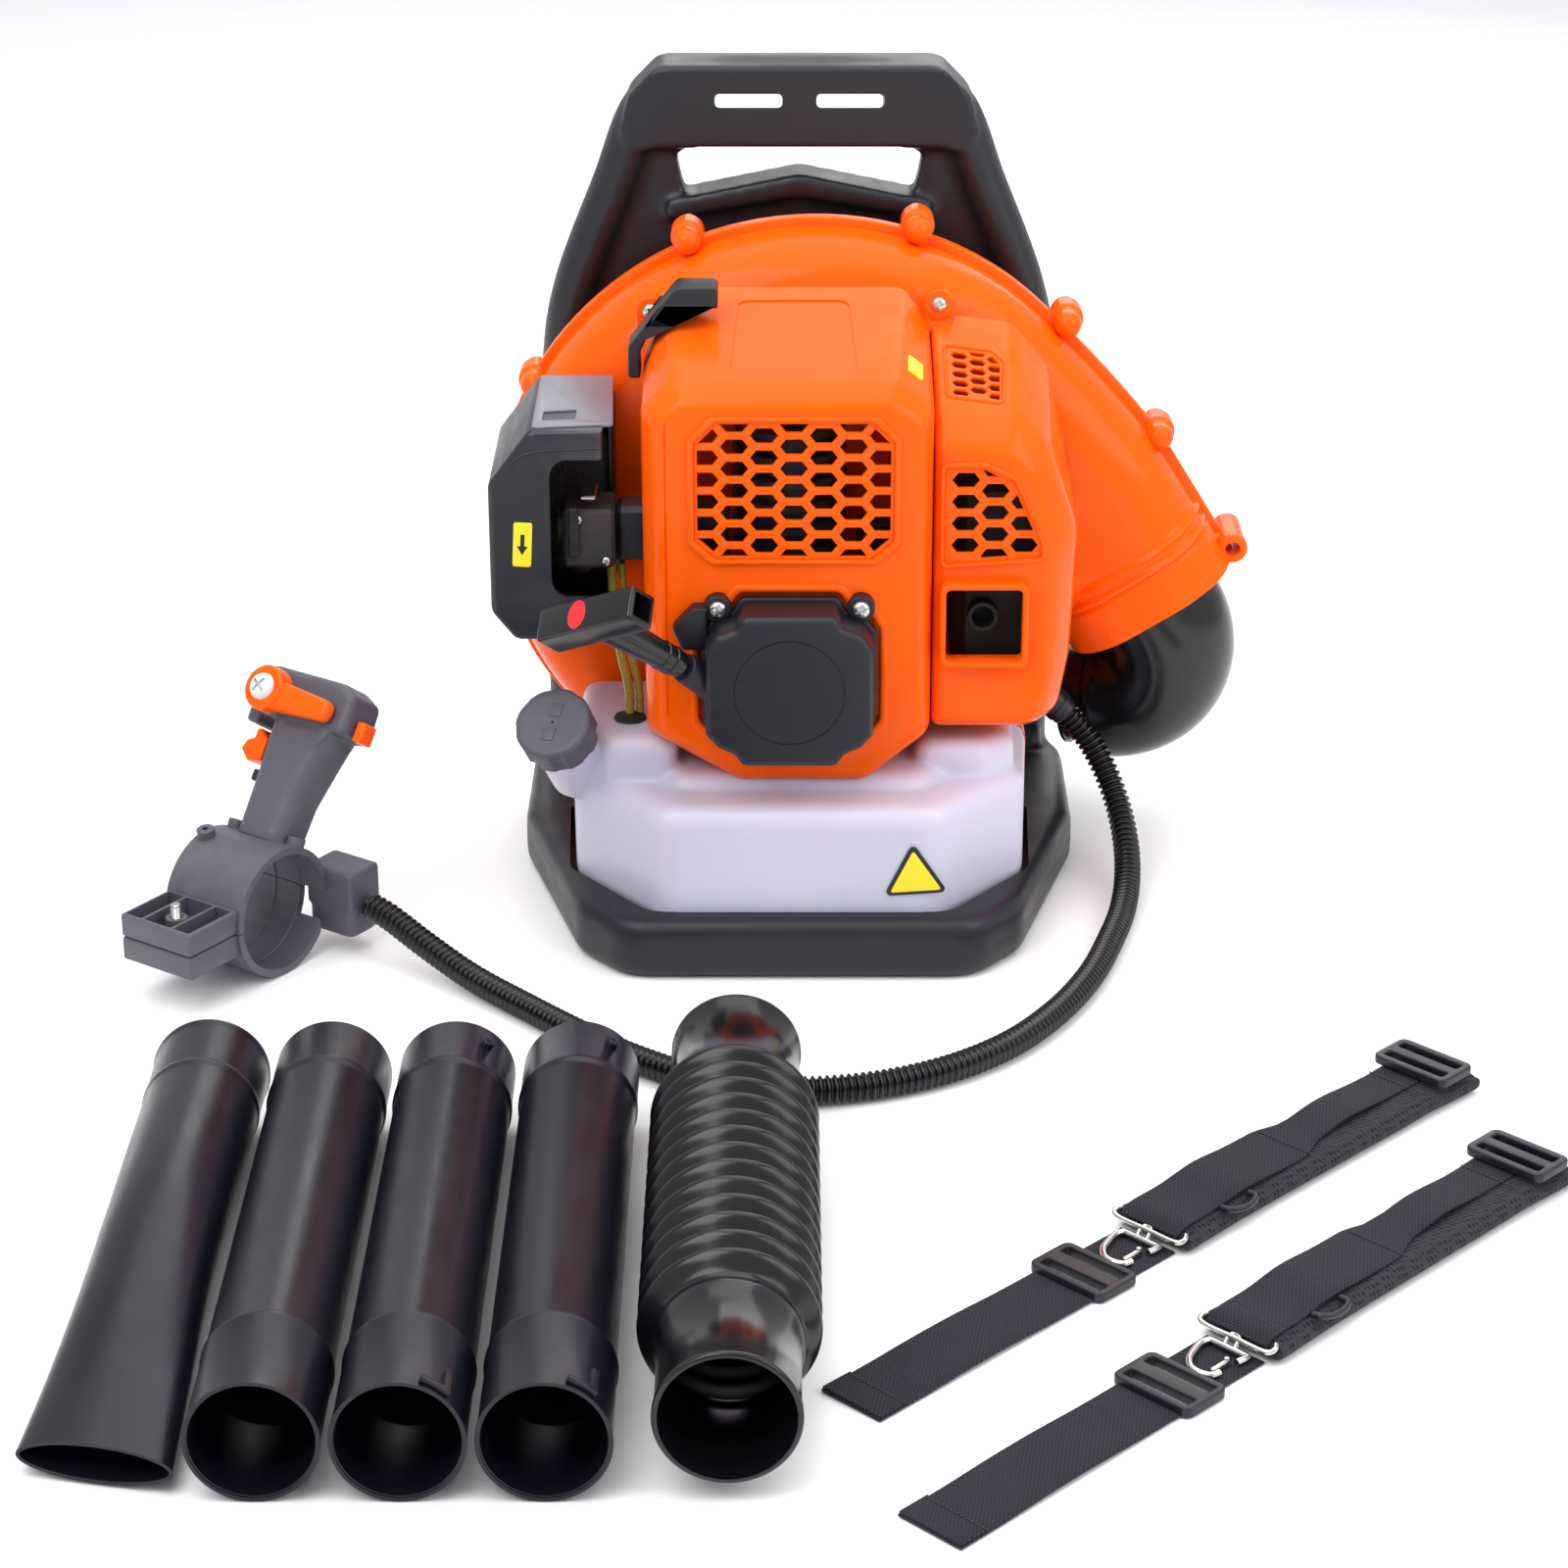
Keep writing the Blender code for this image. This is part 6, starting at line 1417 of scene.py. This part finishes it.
def make_bellows():
    """The bellows hose: thirteen round convolutions between two glossy cuffs with lips."""
    pitch = (TUBE_LENGTH - 2 * CUFF_LENGTH) / CONVOLUTIONS
    valley = BELLOWS_VALLEY
    waist = CUFF_RADIUS - 0.0009
    cuff = [(CUFF_RADIUS - 0.0008, 0.0), (CUFF_RADIUS, 0.0010), (CUFF_RADIUS, 0.0030), (waist, 0.0042),
            (waist, 0.0560), (CUFF_RADIUS + 0.0010, 0.0600), (valley, 0.0640)]
    outside = [(radius, -distance) for radius, distance in cuff]
    for index in range(CONVOLUTIONS * CONVOLUTION_STEPS + 1):
        share = index / CONVOLUTION_STEPS
        bulge = (0.5 - 0.5 * math.cos(2 * math.pi * share)) ** 0.8
        outside.append((valley + (BELLOWS_RADIUS - valley) * bulge, -CUFF_LENGTH - pitch * share))
    outside += [(radius, distance - TUBE_LENGTH) for radius, distance in reversed(cuff)]
    place = Matrix.Translation((BELLOWS_X, TUBE_FAR_Y, BELLOWS_RADIUS + CLEARANCE)) @ LAID_DOWN
    keep(lathe(tube_wall(outside, TUBE_WALL), place, 80, loop=True), "bellows_hose_moulded", "bellows_black",
         "root",
         ("bellows_hose",), angle=60)


# ---------------------------------------------------------------- straps and pads

def ribbon(points, width, thick, place, narrows=0.0, drifts=0.0):
    """A band of webbing along a side view of (distance, height) points, with slightly thicker edges."""
    route = smooth_route([(distance, 0.0, height) for distance, height in points], 0.0020)
    rows = []
    for index, centre in enumerate(route):
        share = index / (len(route) - 1)
        step = min(1.0, max(0.0, (share - 0.42) / 0.10))
        half_width = width - narrows * step * step * (3 - 2 * step)
        centre = centre + Vector((0, drifts * share, 0))
        heading = (route[min(index + 1, len(route) - 1)] - route[max(index - 1, 0)]).normalized()
        up = BACKWARDS.cross(heading)
        section = [(-half_width, 0.3), (-half_width + 0.0006, 0.5), (-half_width / 2, 0.42), (0.0, 0.40),
                   (half_width / 2, 0.42), (half_width - 0.0006, 0.5), (half_width, 0.3)]
        loop = section + [(across, -share) for across, share in reversed(section)]
        rows.append([place @ (centre + Vector((0, across, 0)) + up * (share * thick))
                     for across, share in loop])
    return skin(rows, caps=(True, True))


def stitches(name, along, height, place):
    """A row of raised thread stitches across the webbing."""
    half = Vector(STITCH_SIZE) / 2
    made = []
    for index in range(STITCHES):
        at = Vector((along, STITCH_START, height)) + Vector((0, STITCH_PITCH, 0)) * index
        made.append(block(at - half, at + half, 0.00018, 2, place))
    return keep(joined(made), name, "thread")


def buckle(name, node, low, high, slots, slot_length, slot_half, heights, place):
    """A moulded ladder buckle between two distances along the strap, with a slot at each start."""
    outline = [(low, -0.0235), (high, -0.0235), (high, 0.0235), (low, 0.0235)]
    holes = [rounded([(x, -slot_half), (x + slot_length, -slot_half), (x + slot_length, slot_half),
                      (x, slot_half)], 0.001) for x in slots]
    keep(plate(rounded(outline, 0.0045), *heights, holes=holes, plane="XY", edge=0.0011, matrix=place), name,
         "black_moulded", "root", (node,))


def cushion(name, low, high, grid, cap, channels, matrix, look, node):
    """A padded piece: a smaller block inflated as cloth, sewn along channels, then smoothed."""
    low = Vector(low)
    high = Vector(high)
    soft = block(low, high, min(high - low) * 0.35, 3)
    remesh = soft.modifiers.new("remesh", "REMESH")
    remesh.mode = "VOXEL"
    remesh.voxel_size = grid
    soft = applied(soft)
    cloth = soft.modifiers.new("cloth", "CLOTH")
    cloth.settings.quality = CLOTH_QUALITY
    cloth.settings.mass = CLOTH_MASS
    cloth.settings.use_pressure = True
    cloth.settings.uniform_pressure_force = CLOTH_PRESSURE
    cloth.settings.effector_weights.gravity = 0.0
    cloth.point_cache.frame_start = 1
    cloth.point_cache.frame_end = CLOTH_FRAMES
    for number in range(1, CLOTH_FRAMES + 1):
        scene.frame_set(number)
    swollen = soft.evaluated_get(bpy.context.evaluated_depsgraph_get()).data.vertices
    shifts = [after.co - before.co for after, before in zip(swollen, soft.data.vertices)]
    soft.modifiers.clear()
    scene.frame_set(1)
    for vert, shift in zip(soft.data.vertices, shifts):
        vert.co += shift * min(1.0, cap / max(shift.length, 1e-9))
    middle = (low + high) / 2
    for vert in soft.data.vertices:
        for axis, places, depth, width in channels:
            for at in places:
                dip = depth * math.exp(-((vert.co[axis] - at) / width) ** 2)
                vert.co.z += -dip if vert.co.z > middle.z else dip * 0.3
        vert.co.z = max(vert.co.z, low.z - 0.0010)
    divide = soft.modifiers.new("divide", "SUBSURF")
    divide.levels = 1
    divide.render_levels = 1
    soft = moved(applied(soft), matrix)
    keep(soft, name, look, "root", (node,), angle=180)
    return soft


def wire(points, radius, place):
    """A bent round wire through local points."""
    route = smooth_route(points, 0.0006)
    return moved(sweep(route, lambda distance: radius, 16), place)


def flat_wire(points, radius, place):
    """A wire that stays at the hook's height."""
    return wire([(*point, HOOK_Z) for point in points], radius, place)


def make_strap(label, start):
    """One shoulder strap: tail, ladder lock, snap hook on its ring, padded part, webbing and buckle."""
    place = frame_matrix(start, STRAP_DIRECTION, UP.cross(STRAP_DIRECTION), UP)
    half = WEBBING_WIDTH / 2
    tail = ribbon([(0.0, 0.0012), (0.030, 0.0014), (0.060, 0.0024), (0.090, 0.0026), (0.120, 0.0018),
                   (0.150, 0.0016)],
                  half, 0.0015, place)
    tail = keep(tail, "strap_tail_" + label, "webbing", "root", ("webbing_tail_" + label,), angle=60)
    fold = ribbon([(0.0004, 0.0028), (0.012, 0.0028), (0.0185, 0.0028)], half - 0.0004, 0.0013, place)
    fold = keep(fold, "tail_fold_" + label, "webbing", angle=60)
    seam = stitches("tail_stitches_" + label, 0.0165, 0.0036, place)
    buckle("ladder_lock_%s_moulded" % label, "ladder_lock_" + label, 0.1505, 0.1805, (0.1545, 0.1700), 0.0065,
           0.0195, (0.0004, 0.0060), place)
    link = ribbon([(0.1815, 0.0010), (0.195, 0.0009), (0.210, 0.0009), (0.2150, 0.0010)], half - 0.0015,
                  0.0012, place)
    link = keep(link, "strap_link_" + label, "webbing", angle=60)
    base = flat_wire([(0.2097, -0.0118), (0.2097, 0.0), (0.2097, 0.0118)], 0.0019, place)
    hook = flat_wire([(0.2100, 0.0112), (0.2045, 0.0123), (0.1965, 0.0103), (0.1890, 0.0072),
                      (0.1835, 0.0012), (0.1829, -0.0050), (0.1850, -0.0095), (0.1895, -0.0106)], HOOK_WIRE,
                      place)
    arm = flat_wire([(0.2100, -0.0112), (0.2060, -0.0113), (0.2020, -0.0108)], HOOK_WIRE, place)
    eye = wire([(0.2105, -0.0030, 0.0050), (0.2125, -0.0030, 0.0072), (0.2150, -0.0020, 0.0086),
                (0.2150, 0.0020, 0.0086), (0.2125, 0.0030, 0.0072), (0.2105, 0.0030, 0.0050)], 0.0013, place)
    keep(combine(hook, [base, arm, eye], "UNION"), "snap_hook_%s_wire" % label, "steel", "root",
         ("snap_hook_" + label,), angle=60)
    bar = wire([(0.2190, -0.0205, 0.0105), (0.2160, -0.0222, 0.0098), (0.2135, -0.0205, 0.0086),
                (0.2130, 0.0, 0.0082),
                (0.2135, 0.0205, 0.0086), (0.2160, 0.0222, 0.0098), (0.2190, 0.0205, 0.0105)], 0.0014, place)
    keep(bar, "strap_ring_" + label, "steel", angle=60)
    gate = block((0.1873, -0.0085, 0.0015), (0.2005, -0.0060, 0.0055), 0.0010, 4, place)
    pin = rod(place @ Vector((0.1990, -0.0072, 0.0052)), place @ Vector((0.1990, -0.0072, 0.0062)), 0.0011,
              sides=20)
    keep(combine(gate, [pin], "UNION"), "hook_gate_%s_rounded" % label, "steel", "gate_" + label,
         ("hook_gate_" + label,))
    pad = cushion("shoulder_pad_%s_padded" % label, (0.2165, -0.0245, 0.0014), (0.4665, 0.0245, 0.0102),
                  0.0020, 0.0016,
                  ((1, (-0.0205, 0.0205), 0.0016, 0.0016),), place, "air_mesh", "shoulder_pad_" + label)
    over = ribbon([(0.2150, 0.0100), (0.2210, 0.0126), (0.245, 0.0130), (0.272, 0.0152), (0.300, 0.0134),
                   (0.335, 0.0129),
                   (0.370, 0.0156), (0.405, 0.0132), (0.430, 0.0124), (0.4660, 0.0126)],
                  half - 0.0010, 0.0014, place, narrows=0.0060, drifts=0.0060)
    over = keep(over, "pad_webbing_" + label, "webbing", angle=60)
    seams = [stitches("pad_stitches_%s_%d" % (label, number), along, height, place)
             for number, (along, height) in enumerate(((0.2280, 0.0137), (0.3250, 0.0138), (0.4200, 0.0136)))]
    loop = wire([(0.2500, -0.0185, 0.0130), (0.2510, -0.0235, 0.0135), (0.2570, -0.0262, 0.0130),
                 (0.2650, -0.0262, 0.0130),
                 (0.2705, -0.0235, 0.0135), (0.2715, -0.0185, 0.0130)], 0.0017, place)
    keep(loop, "pad_loop_" + label, "black_moulded")
    buckle("tensioner_%s_moulded" % label, "tensioner_" + label, 0.4300, 0.4580, (0.4345, 0.4475), 0.0060,
           0.0190, (0.0136, 0.0188), place)


def make_back_pad():
    """The quilted pad on the wearer's side of the frame."""
    turn = Matrix.Translation((0, 0.1303, 0)) @ Matrix.Rotation(-math.pi / 2, 4, "X")
    place = turn @ Matrix.Diagonal((1, -1, 1, 1))
    channels = ((1, (0.190, 0.275), 0.0060, 0.0045), (0, (-0.1000, 0.1000), 0.0030, 0.0030))
    cushion("back_pad_padded", (-0.108, 0.109, 0.0015), (0.108, 0.356, 0.0160), 0.0040, 0.0022, channels,
            place, "pad_fabric", "back_pad")


make_stage()
make_conduit()
make_frame()
make_tank()
make_housing()
make_elbow()
make_engine_cover()
make_muffler_cover()
make_starter()
make_latch()
make_intake()
make_handle()
make_tubes()
make_nozzle()
make_bellows()
for strap_label, strap_start in zip(("a", "b"), STRAP_STARTS):
    make_strap(strap_label, strap_start)
make_back_pad()
